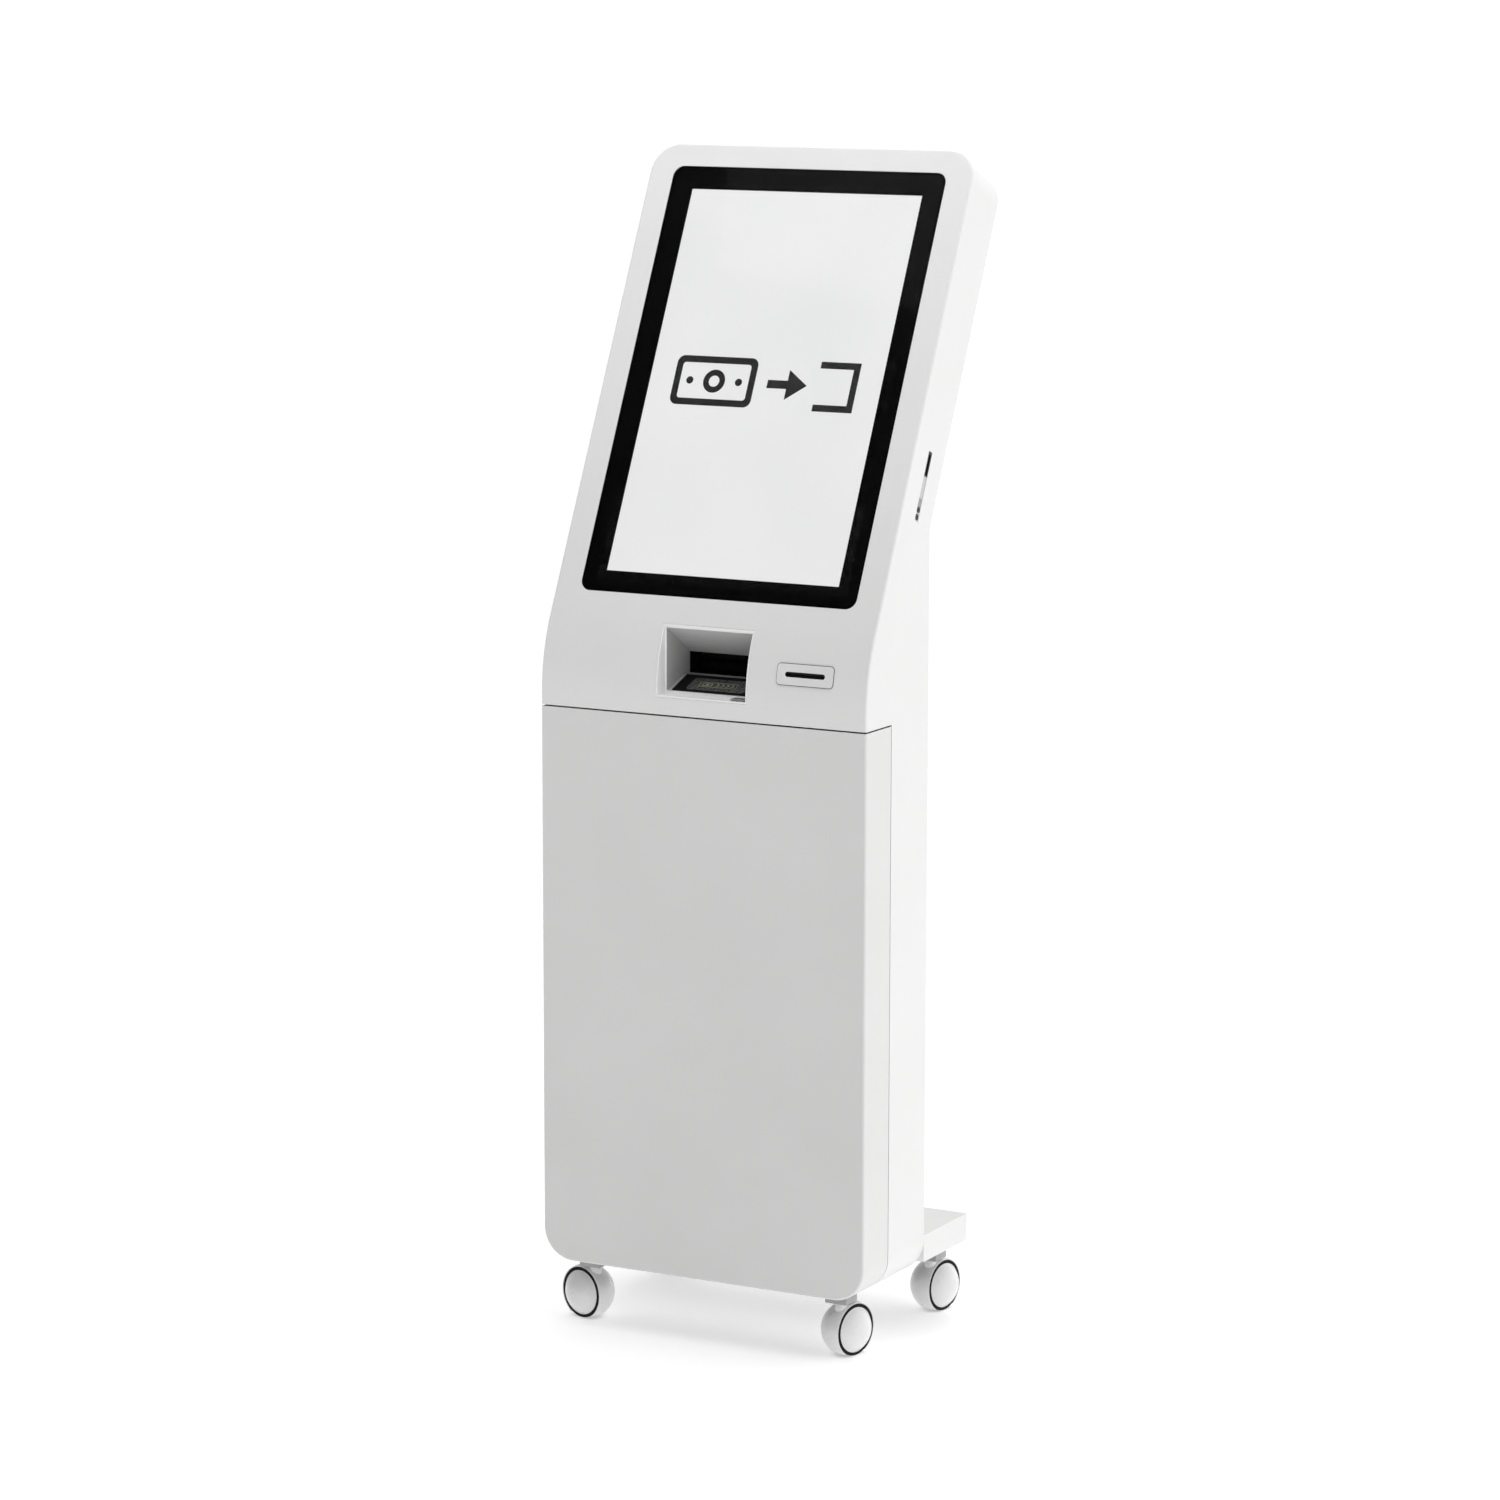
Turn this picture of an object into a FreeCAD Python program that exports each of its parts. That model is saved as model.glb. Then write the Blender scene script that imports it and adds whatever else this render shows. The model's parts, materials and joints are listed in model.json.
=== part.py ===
"""Free-standing cash machine: a thin cabinet on four ball casters with a head that leans back.

Everything is drawn in the cabinet's own directions: X to the right of someone who faces the machine,
Y from the front panel to the back, Z up from the floor.  The front panel lies in the plane y = 0 while
a piece is drawn, and each finished piece is then moved forward by half of the overall depth, so that
the origin ends up under the middle of the machine.  Pieces of the leaning head are drawn upright,
with z up along the screen and y through its thickness, and their Placement leans them back.
"""
import FreeCAD, Part
import math
import os
import re
import Sketcher
from FreeCAD import Placement, Rotation, Vector

SIZES = {
    # cabinet
    "width": 460, "depth": 169, "head_thick": 93.1, "tilt": 25.35, "door_bottom": 84,
    "seam_height": 803, "kink_height": 869.5, "slant_length": 691, "wall": 2,
    "kink_radius": 220, "bottom_corner": 42, "top_corner": 38, "edge_soft": 3, "top_rear_soft": 14,
    # front door and its pivot hinges
    "door_depth": 69, "seam_gap": 1.7, "top_gap": 2, "door_lip": 12, "foot_clear": 200,
    "hinge_inset": 8, "hinge_back": 10.5, "pin_radius": 3, "ear_thick": 3, "ear_reach": 8,
    "running_gap": 0.05, "part_gap": 0.3,
    # base
    "base_bottom": 98, "base_top": 133, "base_rear": 293, "base_sheet": 4, "tongue_half": 200,
    "tongue_front": 14, "tongue_drop": 1,
    # casters
    "ball_radius": 33, "caster_trail": 16, "front_stem_x": 178, "rear_stem_x": 186,
    "front_stem_y": 42, "block_side": 30, "block_gap": 1.5, "stem_radius": 4, "stem_cover": 8,
    "neck_radius": 8, "tyre_gap": 0.4, "hood_wall": 2.6, "hood_edge": 11, "hood_foot": 4.5, "web_half": 2.5,
    "tyre_thick": 3.4, "disc_thick": 2.5, "dome_rise": 15, "hub_radius": 7, "axle_radius": 3,
    "rivet_radius": 5, "rivet_thick": 2,
    # screen
    "glass_half": 194.5, "glass_low": 85.6, "glass_high": 660.4, "glass_corner": 14, "glass_sink": 0.3,
    "glass_thick": 3, "view_half": 164.6, "view_low": 114.2, "view_high": 631.1, "mask_thick": 2,
    "panel_thick": 10, "chassis_thick": 10, "rail_thick": 3, "carrier_thick": 2,
    # cash pocket and note path
    "pocket_half": 62.5, "pocket_low": 827, "pocket_high": 912, "collar_wall": 2, "collar_depth": 22,
    "pocket_rear": 82, "mouth_low": 845, "mouth_high": 872, "slope_end": 64, "roller_radius": 8,
    "roller_back": 31, "note_gap": 0.6,
    # card slot
    "card_x": 143.5, "card_height": 866, "card_bezel_wide": 77.5, "card_bezel_high": 26, "bezel_proud": 1.2,
    "card_slot_wide": 55, "card_slot_high": 6.5,
    # strip in the right side of the head
    "strip_low": 217.5, "strip_high": 308.5, "strip_back": 42.8, "strip_wide": 9.5, "socket_low": 276,
    "button_radius": 2.2, "button_low": 223, "button_pitch": 9.5,
    # storage inside the column
    "shelf_height": 796, "shelf_thick": 4, "box_floor": 600, "box_half": 65, "box_wall": 2,
    "validator_half": 70, "validator_deep": 78, "note_half": 60, "grip_half": 35, "grip_reach": 18,
    # rear covers and fan
    "cover_thick": 1.5, "cover_inset": 10, "rim_width": 20, "screw_radius": 2, "screw_head": 3.8,
    "screw_inset": 8, "vent_high": 4, "vent_pitch": 12, "fan_below_top": 110, "fan_half": 40, "fan_deep": 22,
    "fan_bore": 37, "fan_hub": 14, "spoke_half": 3, "blade_tip": 35,
    # power
    "supply_left": 170, "supply_right": 60, "supply_high": 48, "inlet_x": 100, "inlet_half": 30,
    "inlet_rise": 60, "inlet_high": 14, "inlet_lip": 3, "inlet_deep": 24, "socket_x": 88, "socket_half": 13,
    "socket_high": 9, "socket_deep": 12, "prong_radius": 1.2, "rocker_x": 117, "rocker_half": 8,
    "rocker_radius": 10, "rocker_pin": 1.5,
}

doc = FreeCAD.newDocument("cash_machine")
sheet = doc.addObject("Spreadsheet::Sheet", "Size")
for row, (alias, number) in enumerate(SIZES.items(), start=1):
    sheet.set(f"A{row}", alias)
    sheet.set(f"B{row}", str(number))
    sheet.setAlias(f"B{row}", alias)
doc.recompute()

# Formulas that several pieces share, in the sheet's names.
OVERALL_DEPTH = ("(slant_length*sin(tilt) + head_thick*cos(tilt)"
                 " - top_rear_soft*(sin(tilt) + cos(tilt) - 1))")
HALF = "width/2"
INNER_HALF = "(width/2 - wall)"
PIVOT_X = "(hinge_inset - width/2)"
PIVOT_Y = "(door_depth - seam_gap - hinge_back)"
REAR_KINK_V = "((depth - head_thick*cos(tilt))/sin(tilt))"
REAR_KINK_Z = f"(kink_height + {REAR_KINK_V}*cos(tilt) - head_thick*sin(tilt))"
ARC_START = "(kink_height - kink_radius*tan(tilt/2))"
CARD_LEAN = f"asin((card_height - {ARC_START})/kink_radius)"
THROAT_HALF = "(card_slot_wide/2 + 2)"
THROAT_RISE = "(card_slot_high/2 + 1.5)"
GLASS_BACK = "(glass_sink + glass_thick)"
MASK_BACK = f"({GLASS_BACK} + mask_thick)"
PANEL_BACK = f"({MASK_BACK} + panel_thick)"
CHASSIS_BACK = f"({PANEL_BACK} + chassis_thick)"
RAIL_BACK = f"({CHASSIS_BACK} + rail_thick)"
CARRIER_BACK = f"({RAIL_BACK} + carrier_thick)"

parts = []


def formula(text):
    """Write a formula in the sheet's names the way an object's expression needs it."""
    def refer(match):
        word = match.group()
        return "Size." + word if word in SIZES else word
    return re.sub(r"[a-z][a-z_]*", refer, str(text))


def bind(obj, prop, text):
    obj.setExpression(prop, formula(text))


def move(obj, x=0, y=0, z=0):
    """Tie an object's place to the sheet."""
    for axis, text in zip("xyz", (x, y, z)):
        bind(obj, "Placement.Base." + axis, text)


def box(x, y, z):
    """A block between two formulas along each axis."""
    obj = doc.addObject("Part::Box", "Block")
    for size, (low, high) in zip(("Length", "Width", "Height"), (x, y, z)):
        bind(obj, size, f"({high}) - ({low})")
    move(obj, x[0], y[0], z[0])
    return obj


TURN = {"z": Rotation(), "x": Rotation(Vector(0, 1, 0), 90), "y": Rotation(Vector(1, 0, 0), -90)}


def rod(radius, axis, start, end, centre):
    """A cylinder along one axis, from start to end; centre gives the other two places in order."""
    obj = doc.addObject("Part::Cylinder", "Rod")
    bind(obj, "Radius", radius)
    bind(obj, "Height", f"({end}) - ({start})")
    obj.Placement = Placement(Vector(), TURN[axis])
    place = list(centre)
    place.insert("xyz".index(axis), start)
    move(obj, *place)
    return obj


def ball(radius, centre):
    obj = doc.addObject("Part::Sphere", "Ball")
    bind(obj, "Radius", radius)
    move(obj, *centre)
    return obj


def fuse(*pieces):
    if len(pieces) == 1:
        return pieces[0]
    obj = doc.addObject("Part::MultiFuse", "Fuse")
    obj.Shapes = list(pieces)
    return obj


def group(*pieces):
    """Separate solids of one node, such as a set of screws."""
    obj = doc.addObject("Part::Compound", "Group")
    obj.Links = list(pieces)
    return obj


def cut(base, *tools):
    obj = doc.addObject("Part::Cut", "Cut")
    obj.Base = base
    obj.Tool = fuse(*tools)
    return obj


def common(*pieces):
    obj = doc.addObject("Part::MultiCommon", "Common")
    obj.Shapes = list(pieces)
    return obj


def prism(outline, start, end, plane="YZ_Plane"):
    """A PartDesign body: a closed outline of corner formulas, padded between two places."""
    body = doc.addObject("PartDesign::Body", "Prism")
    sketch = body.newObject("Sketcher::SketchObject", "Outline")
    origin_plane = [item for item in body.Origin.OriginFeatures if item.Role == plane][0]
    sketch.AttachmentSupport = (origin_plane, [""])
    sketch.MapMode = "FlatFace"
    count = len(outline)
    guess = [Vector(math.cos(2 * math.pi * k / count), math.sin(2 * math.pi * k / count), 0) * 100
             for k in range(count)]
    for k in range(count):
        sketch.addGeometry(Part.LineSegment(guess[k], guess[(k + 1) % count]), False)
    for k in range(count):
        sketch.addConstraint(Sketcher.Constraint("Coincident", k, 2, (k + 1) % count, 1))
    for k, corner in enumerate(outline):
        for kind, text in zip(("DistanceX", "DistanceY"), corner):
            index = sketch.addConstraint(Sketcher.Constraint(kind, -1, 1, k, 1, 10.0 + k))
            bind(sketch, f"Constraints[{index}]", text)
    bind(sketch, "AttachmentOffset.Base.z", start)
    pad = body.newObject("PartDesign::Pad", "Pad")
    pad.Profile = sketch
    bind(pad, "Length", f"({end}) - ({start})")
    return body


def nearest_edges(shape, points):
    """Names of the edges whose middles lie nearest to the given points."""
    def gap(edge, point):
        return (edge.valueAt((edge.FirstParameter + edge.LastParameter) / 2) - point).Length
    names = []
    for point in points:
        order = sorted(range(len(shape.Edges)), key=lambda k: gap(shape.Edges[k], point))
        names.append(f"Edge{order[0] + 1}")
    return names


def round_edges(body, points, radius):
    """Fillet a body's edges that run nearest to the given points."""
    doc.recompute()
    tip = body.Tip
    fillet = body.newObject("PartDesign::Fillet", "Round")
    fillet.Base = (tip, nearest_edges(tip.Shape, points))
    bind(fillet, "Radius", radius)
    body.Tip = fillet
    doc.recompute()
    return fillet


def placeable(obj):
    """A bare block or rod holds its own place already, so its group is the one that is moved."""
    return group(obj) if obj.TypeId in ("Part::Box", "Part::Cylinder", "Part::Sphere") else obj


def stand(obj, frame, shift="0"):
    """Place a piece upright, or leaning back with the head or with the card slot."""
    angle, x, y, z = {
        "upright": ("0", "0", "0", "0"),
        "head": ("-tilt", "0", "0", "kink_height"),
        "card": (f"-{CARD_LEAN}", "card_x", f"kink_radius*(1 - cos({CARD_LEAN}))", "card_height"),
    }[frame]
    if frame != "upright":
        obj.Placement = Placement(Vector(), Rotation(Vector(1, 0, 0), 1))
        bind(obj, "Placement.Rotation.Angle", angle)
    move(obj, x, f"{y} + {shift}", z)
    return obj


def finish(obj, label, frame="upright"):
    """Name a finished piece, set it in the machine and keep it for export."""
    obj = stand(placeable(obj), frame, f"-{OVERALL_DEPTH}/2")
    obj.Label = label
    parts.append(obj)


# ---------------------------------------------------------------- cabinet body

def envelope(inset):
    """The machine's outer body, or with an inset the hollow inside its sheet metal."""
    slant_y = f"((slant_length - {inset})*sin(tilt)"
    slant_z = f"(kink_height + (slant_length - {inset})*cos(tilt)"
    rear_v = f"((depth - {inset} - (head_thick - {inset})*cos(tilt))/sin(tilt))"
    outline = [
        (inset, f"door_bottom + {inset}"),
        (inset, f"kink_height - {inset}*tan(tilt/2)"),
        (f"{slant_y} + {inset}*cos(tilt))", f"{slant_z} - {inset}*sin(tilt))"),
        (f"{slant_y} + (head_thick - {inset})*cos(tilt))",
         f"{slant_z} - (head_thick - {inset})*sin(tilt))"),
        (f"depth - {inset}", f"kink_height + {rear_v}*cos(tilt) - (head_thick - {inset})*sin(tilt)"),
        (f"depth - {inset}", f"door_bottom + {inset}"),
    ]
    body = prism(outline, f"{inset} - width/2", f"width/2 - {inset}")
    size = SIZES
    gap = 0 if inset == "0" else size["wall"]
    lean = math.radians(size["tilt"])
    side = size["width"] / 2 - gap

    def on_head(up, back):
        """A point of the leaning head, from its place up the screen and through its thickness."""
        return (up * math.sin(lean) + back * math.cos(lean),
                size["kink_height"] + up * math.cos(lean) - back * math.sin(lean))

    top_middle = on_head(size["slant_length"] - gap, size["head_thick"] / 2)
    top_rear = on_head(size["slant_length"] - gap, size["head_thick"] - gap)
    kink = (gap, size["kink_height"] - gap * math.tan(lean / 2))
    round_edges(body, [Vector(0, *kink)], f"kink_radius - {inset}")
    bottom = (size["depth"] / 2, size["door_bottom"] + gap)
    round_edges(body, [Vector(-side, *bottom), Vector(side, *bottom)], f"bottom_corner - {inset}")
    round_edges(body, [Vector(-side, *top_middle), Vector(side, *top_middle)], f"top_corner - {inset}")
    round_edges(body, [Vector(0, *top_rear)], f"top_rear_soft - {inset}")
    if inset == "0":
        round_edges(body, [Vector(0, 0, size["door_bottom"])], "edge_soft")
    return body


outer = envelope("0")
hollow = envelope("wall")
walls = cut(outer, hollow)

door_room = box((f"-{HALF} - wall", f"{HALF} + wall"), ("-wall", "door_depth"),
                ("door_bottom - wall", "seam_height"))
tongue_room = box(("-tongue_half - part_gap", "tongue_half + part_gap"), ("depth - 2*wall", "depth + wall"),
                  ("base_bottom - part_gap", "base_top + part_gap"))
rear_room = box(("rim_width - width/2", "width/2 - rim_width"), ("depth - 2*wall", "depth + wall"),
                ("base_top + rim_width", f"{REAR_KINK_Z} - rim_width"))
pocket_room = box(("-pocket_half - collar_wall - part_gap", "pocket_half + collar_wall + part_gap"),
                  ("-wall", "collar_depth + 2*wall"),
                  ("pocket_low - collar_wall - part_gap", "pocket_high + collar_wall + part_gap"))


def rounded_plate(half, low, high, front, back, corner):
    """A plate across the head or the fascia with rounded corners, drawn upright."""
    body = prism([(f"-({half})", low), (half, low), (half, high), (f"-({half})", high)],
                 f"-({back})", f"-({front})", "XZ_Plane")
    doc.recompute()
    bounds = body.Shape.BoundBox
    middle = (bounds.YMin + bounds.YMax) / 2
    corners = [Vector(x, middle, z) for x in (bounds.XMin, bounds.XMax) for z in (bounds.ZMin, bounds.ZMax)]
    round_edges(body, corners, corner)
    return body


screen_room = rounded_plate("glass_half + part_gap", "glass_low - part_gap", "glass_high + part_gap",
                            "-2*wall", "3*wall", "glass_corner + part_gap")
head_room = box(("rim_width + wall - width/2", "width/2 - rim_width - wall"),
                ("head_thick - 2*wall", "head_thick + wall"),
                (f"{REAR_KINK_V} + rim_width", "slant_length - rim_width - top_rear_soft"))
strip_room = box((f"{HALF} - 2*wall", f"{HALF} + wall"),
                 ("strip_back - strip_wide/2", "strip_back + strip_wide/2"), ("strip_low", "strip_high"))
card_room = box((f"-{THROAT_HALF} - part_gap", f"{THROAT_HALF} + part_gap"), ("-2*wall", "3*wall"),
                (f"-{THROAT_RISE} - part_gap", f"{THROAT_RISE} + part_gap"))
leaning_rooms = [stand(placeable(room), "head") for room in (screen_room, head_room, strip_room)]
finish(cut(walls, door_room, tongue_room, rear_room, pocket_room, *leaning_rooms,
           stand(placeable(card_room), "card")), "cabinet_shell")

# ---------------------------------------------------------------- front door

door_zone = box((f"-{HALF} - wall", f"{HALF} + wall"), ("-wall", "door_depth - seam_gap"),
                ("door_bottom - wall", "seam_height - top_gap"))
foot_room = box(("-foot_clear", "foot_clear"), ("door_lip", "door_depth"),
                ("door_bottom - wall", "base_bottom"))
EAR_Z = {"lower": "(base_top + 12)", "upper": "(seam_height - 20)"}
ears = []
ear_bores = []
for level in EAR_Z.values():
    ears.append(box((f"-{INNER_HALF}", f"{PIVOT_X} + ear_reach"),
                    (f"{PIVOT_Y} - ear_reach", f"{PIVOT_Y} + ear_reach"), (level, f"{level} + ear_thick")))
    ear_bores.append(rod("pin_radius + running_gap", "z", f"{level} - 1", f"{level} + ear_thick + 1",
                         (PIVOT_X, PIVOT_Y)))
door_pan = common(cut(outer, hollow), door_zone)
finish(cut(fuse(cut(door_pan, foot_room), *ears), *ear_bores), "front_door")

# Two L-shaped brackets on the left wall carry the door's pins. They reach round the sweep of the
# door's rear edge, the lower one under its ear and the upper one over it.
brackets = []
pins = []
ARM_X = f"({PIVOT_X} + 2*hinge_inset)"
for name, level in EAR_Z.items():
    under = f"({level} - part_gap - ear_thick)"
    over = f"({level} + ear_thick + part_gap)"
    low = under if name == "lower" else over
    high = f"({low} + ear_thick)"
    arm = fuse(
        box((f"-{INNER_HALF}", f"{ARM_X} + hinge_inset"), ("door_depth + wall", "door_depth + 20"),
            (low, high)),
        box((ARM_X, f"{ARM_X} + hinge_inset"), (f"{PIVOT_Y} - 6", "door_depth + wall"), (low, high)),
        box((f"{PIVOT_X} - 5", ARM_X), (f"{PIVOT_Y} - 6", f"{PIVOT_Y} + 2"), (low, high)))
    pin_low = low if name == "lower" else level
    pin_high = f"{level} + ear_thick" if name == "lower" else high
    brackets.append(cut(arm, rod("pin_radius", "z", f"{low} - 1", f"{high} + 1", (PIVOT_X, PIVOT_Y))))
    pins.append(rod("pin_radius", "z", pin_low, pin_high, (PIVOT_X, PIVOT_Y)))
finish(group(*brackets), "hinge_brackets")
finish(group(*pins), "hinge_pins")

# A magnetic catch on the right wall holds the door by a steel strike on the door's own return.
CATCH_Z = ("seam_height/2 + 60", "seam_height/2 + 100")
CATCH_X = (f"{INNER_HALF} - 14", INNER_HALF)
DOOR_EDGE = "(door_depth - seam_gap)"
finish(box(CATCH_X, (f"{DOOR_EDGE} + part_gap", "door_depth + 18"), CATCH_Z), "door_magnet_catch")
finish(box(CATCH_X, (f"{DOOR_EDGE} - 8", DOOR_EDGE), CATCH_Z), "door_strike")

# ---------------------------------------------------------------- base

rear_deck = box((f"-{HALF}", HALF), ("depth", "base_rear"), ("base_bottom", "base_top"))
TONGUE_TOP = "(base_top - tongue_drop)"
tongue = box(("-tongue_half", "tongue_half"), ("tongue_front", "depth"), ("base_bottom", TONGUE_TOP))
DECK_INSIDE = ((f"base_sheet - {HALF}", f"{HALF} - base_sheet"),
               ("depth + base_sheet", "base_rear - base_sheet"))
TONGUE_INSIDE = (("base_sheet - tongue_half", "tongue_half - base_sheet"),
                 ("tongue_front + base_sheet", "depth + 2*base_sheet"))
ROOF = "(base_top - base_sheet - tongue_drop)"
deck_hollow = fuse(*[box(*inside, ("base_bottom - 1", ROOF)) for inside in (DECK_INSIDE, TONGUE_INSIDE)])
finish(cut(fuse(rear_deck, tongue), deck_hollow), "base_tray")
finish(fuse(*[box(*inside, ("base_bottom", "base_bottom + base_sheet"))
              for inside in (DECK_INSIDE, TONGUE_INSIDE)]), "base_underplate")
BALLAST_INSET = 30
finish(box((f"{BALLAST_INSET} - tongue_half", f"tongue_half - {BALLAST_INSET}"),
           ("door_depth + 21", "base_rear - 13"), ("base_bottom + base_sheet", f"{ROOF} - 3")),
       "ballast_block")
SPACER_X = 150
SPACER_HALF = 20
finish(group(*[box((f"{side*SPACER_X} - {SPACER_HALF}", f"{side*SPACER_X} + {SPACER_HALF}"),
                   ("door_depth + 8", "depth - 4*wall"), ("door_bottom + wall", "base_bottom"))
               for side in (-1, 1)]), "base_spacers")

# ---------------------------------------------------------------- casters
# Each caster is drawn about its swivel stem with its axle along X, trailing towards +Y, and is then turned
# to its resting angle and set under the base.  Its one wheel sits in the open side of a ball-shaped hood,
# towards +X on the right of the machine and towards -X on the left.

REAR_STEM_Y = "(base_rear - block_side/2)"
STEMS = {
    "front_left": ("-front_stem_x", "front_stem_y", 74, -1),
    "front_right": ("front_stem_x", "front_stem_y", -14, 1),
    "rear_left": ("-rear_stem_x", REAR_STEM_Y, 12, -1),
    "rear_right": ("rear_stem_x", REAR_STEM_Y, -10, 1),
}
HUB = ("caster_trail", "ball_radius")
HOOD_BORE = "(ball_radius + tyre_gap)"
HOOD_RADIUS = f"({HOOD_BORE} + hood_wall)"
BLOCK_FOOT = f"(ball_radius + {HOOD_RADIUS} + block_gap)"
STEM_TOP = "(base_bottom - stem_cover)"
TREAD_IN = "(web_half + part_gap)"
TREAD_OUT = "(hood_edge - part_gap)"
RIM_RADIUS = "(ball_radius - tyre_thick)"
FAR_OUT = "(3*ball_radius)"
AROUND_Y = (f"-{FAR_OUT}", FAR_OUT)
AROUND_Z = ("-ball_radius", FAR_OUT)


def set_caster(obj, label, stem_x, stem_y, turn):
    obj.Label = label
    obj.Placement = Placement(Vector(), Rotation(Vector(0, 0, 1), turn))
    move(obj, stem_x, f"{stem_y} - {OVERALL_DEPTH}/2", 0)
    parts.append(obj)


def sorted_ends(side, near, far):
    """A span along the axle, from near to far towards the wheel's side, as low and high along X."""
    return (near, far) if side > 0 else (f"-({far})", f"-({near})")


def wheel(side):
    """A rim under the tyre, a thin domed outer face, a hub and an axle with a rivet behind the hood's web."""
    through = sorted_ends(side, f"{TREAD_IN} - 1", f"{TREAD_OUT} + 1")
    rim = cut(rod(RIM_RADIUS, "x", *sorted_ends(side, TREAD_IN, TREAD_OUT), HUB),
              rod(f"{RIM_RADIUS} - disc_thick", "x", *through, HUB))
    dome_radius = f"({RIM_RADIUS}^2/(2*dome_rise) + dome_rise/2)"
    dome_centre = f"({side})*({TREAD_OUT} + dome_rise - {dome_radius})"
    outside = [box(sorted_ends(side, TREAD_OUT, FAR_OUT), AROUND_Y, AROUND_Z) for _ in range(2)]
    cap = common(ball(dome_radius, (dome_centre, *HUB)), outside[0])
    core = common(ball(f"{dome_radius} - disc_thick", (dome_centre, *HUB)), outside[1])
    hub = rod("hub_radius", "x", *sorted_ends(side, TREAD_IN, f"{TREAD_OUT} + dome_rise - 1"), HUB)
    axle = rod("axle_radius", "x", *sorted_ends(side, f"-{TREAD_IN} - rivet_thick", f"{TREAD_IN} + 1"), HUB)
    rivet = rod("rivet_radius", "x", *sorted_ends(side, f"-{TREAD_IN} - rivet_thick", f"-{TREAD_IN}"), HUB)
    return fuse(cut(fuse(rim, cap), core), hub, axle, rivet)


def tyre(side):
    ring = rod("ball_radius", "x", *sorted_ends(side, TREAD_IN, TREAD_OUT), HUB)
    seat = rod(RIM_RADIUS, "x", *sorted_ends(side, f"{TREAD_IN} - 1", f"{TREAD_OUT} + 1"), HUB)
    return cut(ring, seat)


def round_hood(side):
    """A ball-shaped hood, open just above the floor: a well for the wheel and a hollow back on either side
    of a thin web, with a neck and a stem on top."""
    body = common(ball(HOOD_RADIUS, ("0", *HUB)),
                  box(sorted_ends(side, f"-{FAR_OUT}", "hood_edge"), AROUND_Y, AROUND_Z))
    neck = rod("neck_radius", "z", "ball_radius", f"{BLOCK_FOOT} - part_gap", (0, 0))
    well = rod(HOOD_BORE, "x", *sorted_ends(side, "web_half", FAR_OUT), HUB)
    hollow = common(ball(HOOD_BORE, ("0", *HUB)),
                    box(sorted_ends(side, f"-{FAR_OUT}", "-web_half"), AROUND_Y, AROUND_Z))
    stem = rod("stem_radius", "z", f"{BLOCK_FOOT} - 1", STEM_TOP, (0, 0))
    foot = box((f"-{FAR_OUT}", FAR_OUT), AROUND_Y, ("-ball_radius", "hood_foot"))
    axle_bore = rod("axle_radius + running_gap", "x", "-web_half - 1", "web_half + 1", HUB)
    return cut(fuse(body, neck, stem), well, hollow, foot, axle_bore)


for name, (stem_x, stem_y, turn, side) in STEMS.items():
    mount_block = box(("-block_side/2", "block_side/2"), ("-block_side/2", "block_side/2"),
                      (BLOCK_FOOT, "base_bottom"))
    socket = rod("stem_radius + running_gap", "z", f"{BLOCK_FOOT} - 1", f"{STEM_TOP} + 2", (0, 0))
    set_caster(cut(mount_block, socket), f"{name}_caster_plate", stem_x, stem_y, 0)
    set_caster(round_hood(side), f"{name}_caster_hood", stem_x, stem_y, turn)
    set_caster(wheel(side), f"{name}_caster_wheel", stem_x, stem_y, turn)
    set_caster(tyre(side), f"{name}_caster_tyre", stem_x, stem_y, turn)

# ---------------------------------------------------------------- screen

finish(rounded_plate("glass_half", "glass_low", "glass_high", "glass_sink", GLASS_BACK, "glass_corner"),
       "cover_glass", "head")
SURROUND = ("-glass_half - 8", "glass_half + 8")
SURROUND_UP = ("glass_low - 8", "glass_high + 8")
gasket_outer = box(SURROUND, ("wall", GLASS_BACK), SURROUND_UP)
gasket_inner = rounded_plate("glass_half", "glass_low", "glass_high", "0", f"2*{GLASS_BACK}", "glass_corner")
finish(cut(gasket_outer, gasket_inner), "screen_gasket", "head")
finish(cut(box(SURROUND, (GLASS_BACK, MASK_BACK), SURROUND_UP),
           box(("-view_half", "view_half"), ("0", f"2*{MASK_BACK}"), ("view_low", "view_high"))),
       "screen_mask", "head")
finish(box(("-view_half - 12", "view_half + 12"), (MASK_BACK, PANEL_BACK),
           ("view_low - 12", "view_high + 12")), "display_panel", "head")
finish(box(("-view_half + 6", "view_half - 6"), (PANEL_BACK, CHASSIS_BACK),
           ("view_low + 6", "view_high - 6")), "display_chassis", "head")
finish(group(*[box((f"{side}*100 - 15", f"{side}*100 + 15"), (CHASSIS_BACK, RAIL_BACK),
                   ("view_low + 10", "view_high - 10")) for side in (-1, 1)]), "display_rails", "head")
finish(box((f"-{INNER_HALF}", INNER_HALF), (RAIL_BACK, CARRIER_BACK), ("view_low + 20", "view_high - 20")),
       "display_carrier", "head")
finish(box((-90, 90), (CARRIER_BACK, f"{CARRIER_BACK} + 36"), ("view_low + 190", "view_low + 350")),
       "controller_box", "head")

# ---------------------------------------------------------------- rear covers and fan


def slots(half_wide, low, count, depth_range):
    """A stack of level ventilation slots."""
    return [box((f"-{half_wide}", half_wide), depth_range,
                (f"{low} + {k}*vent_pitch", f"{low} + {k}*vent_pitch + vent_high")) for k in range(count)]


def screws(places, face):
    """Pan-head screws along Y, heads on the outside at the face, shanks going inwards."""
    bodies = []
    for place in places:
        head = rod("screw_head", "y", face, f"{face} + screw_radius", place)
        shank = rod("screw_radius", "y", f"{face} - cover_thick", face, place)
        bodies.append(fuse(head, shank))
    return bodies


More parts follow.
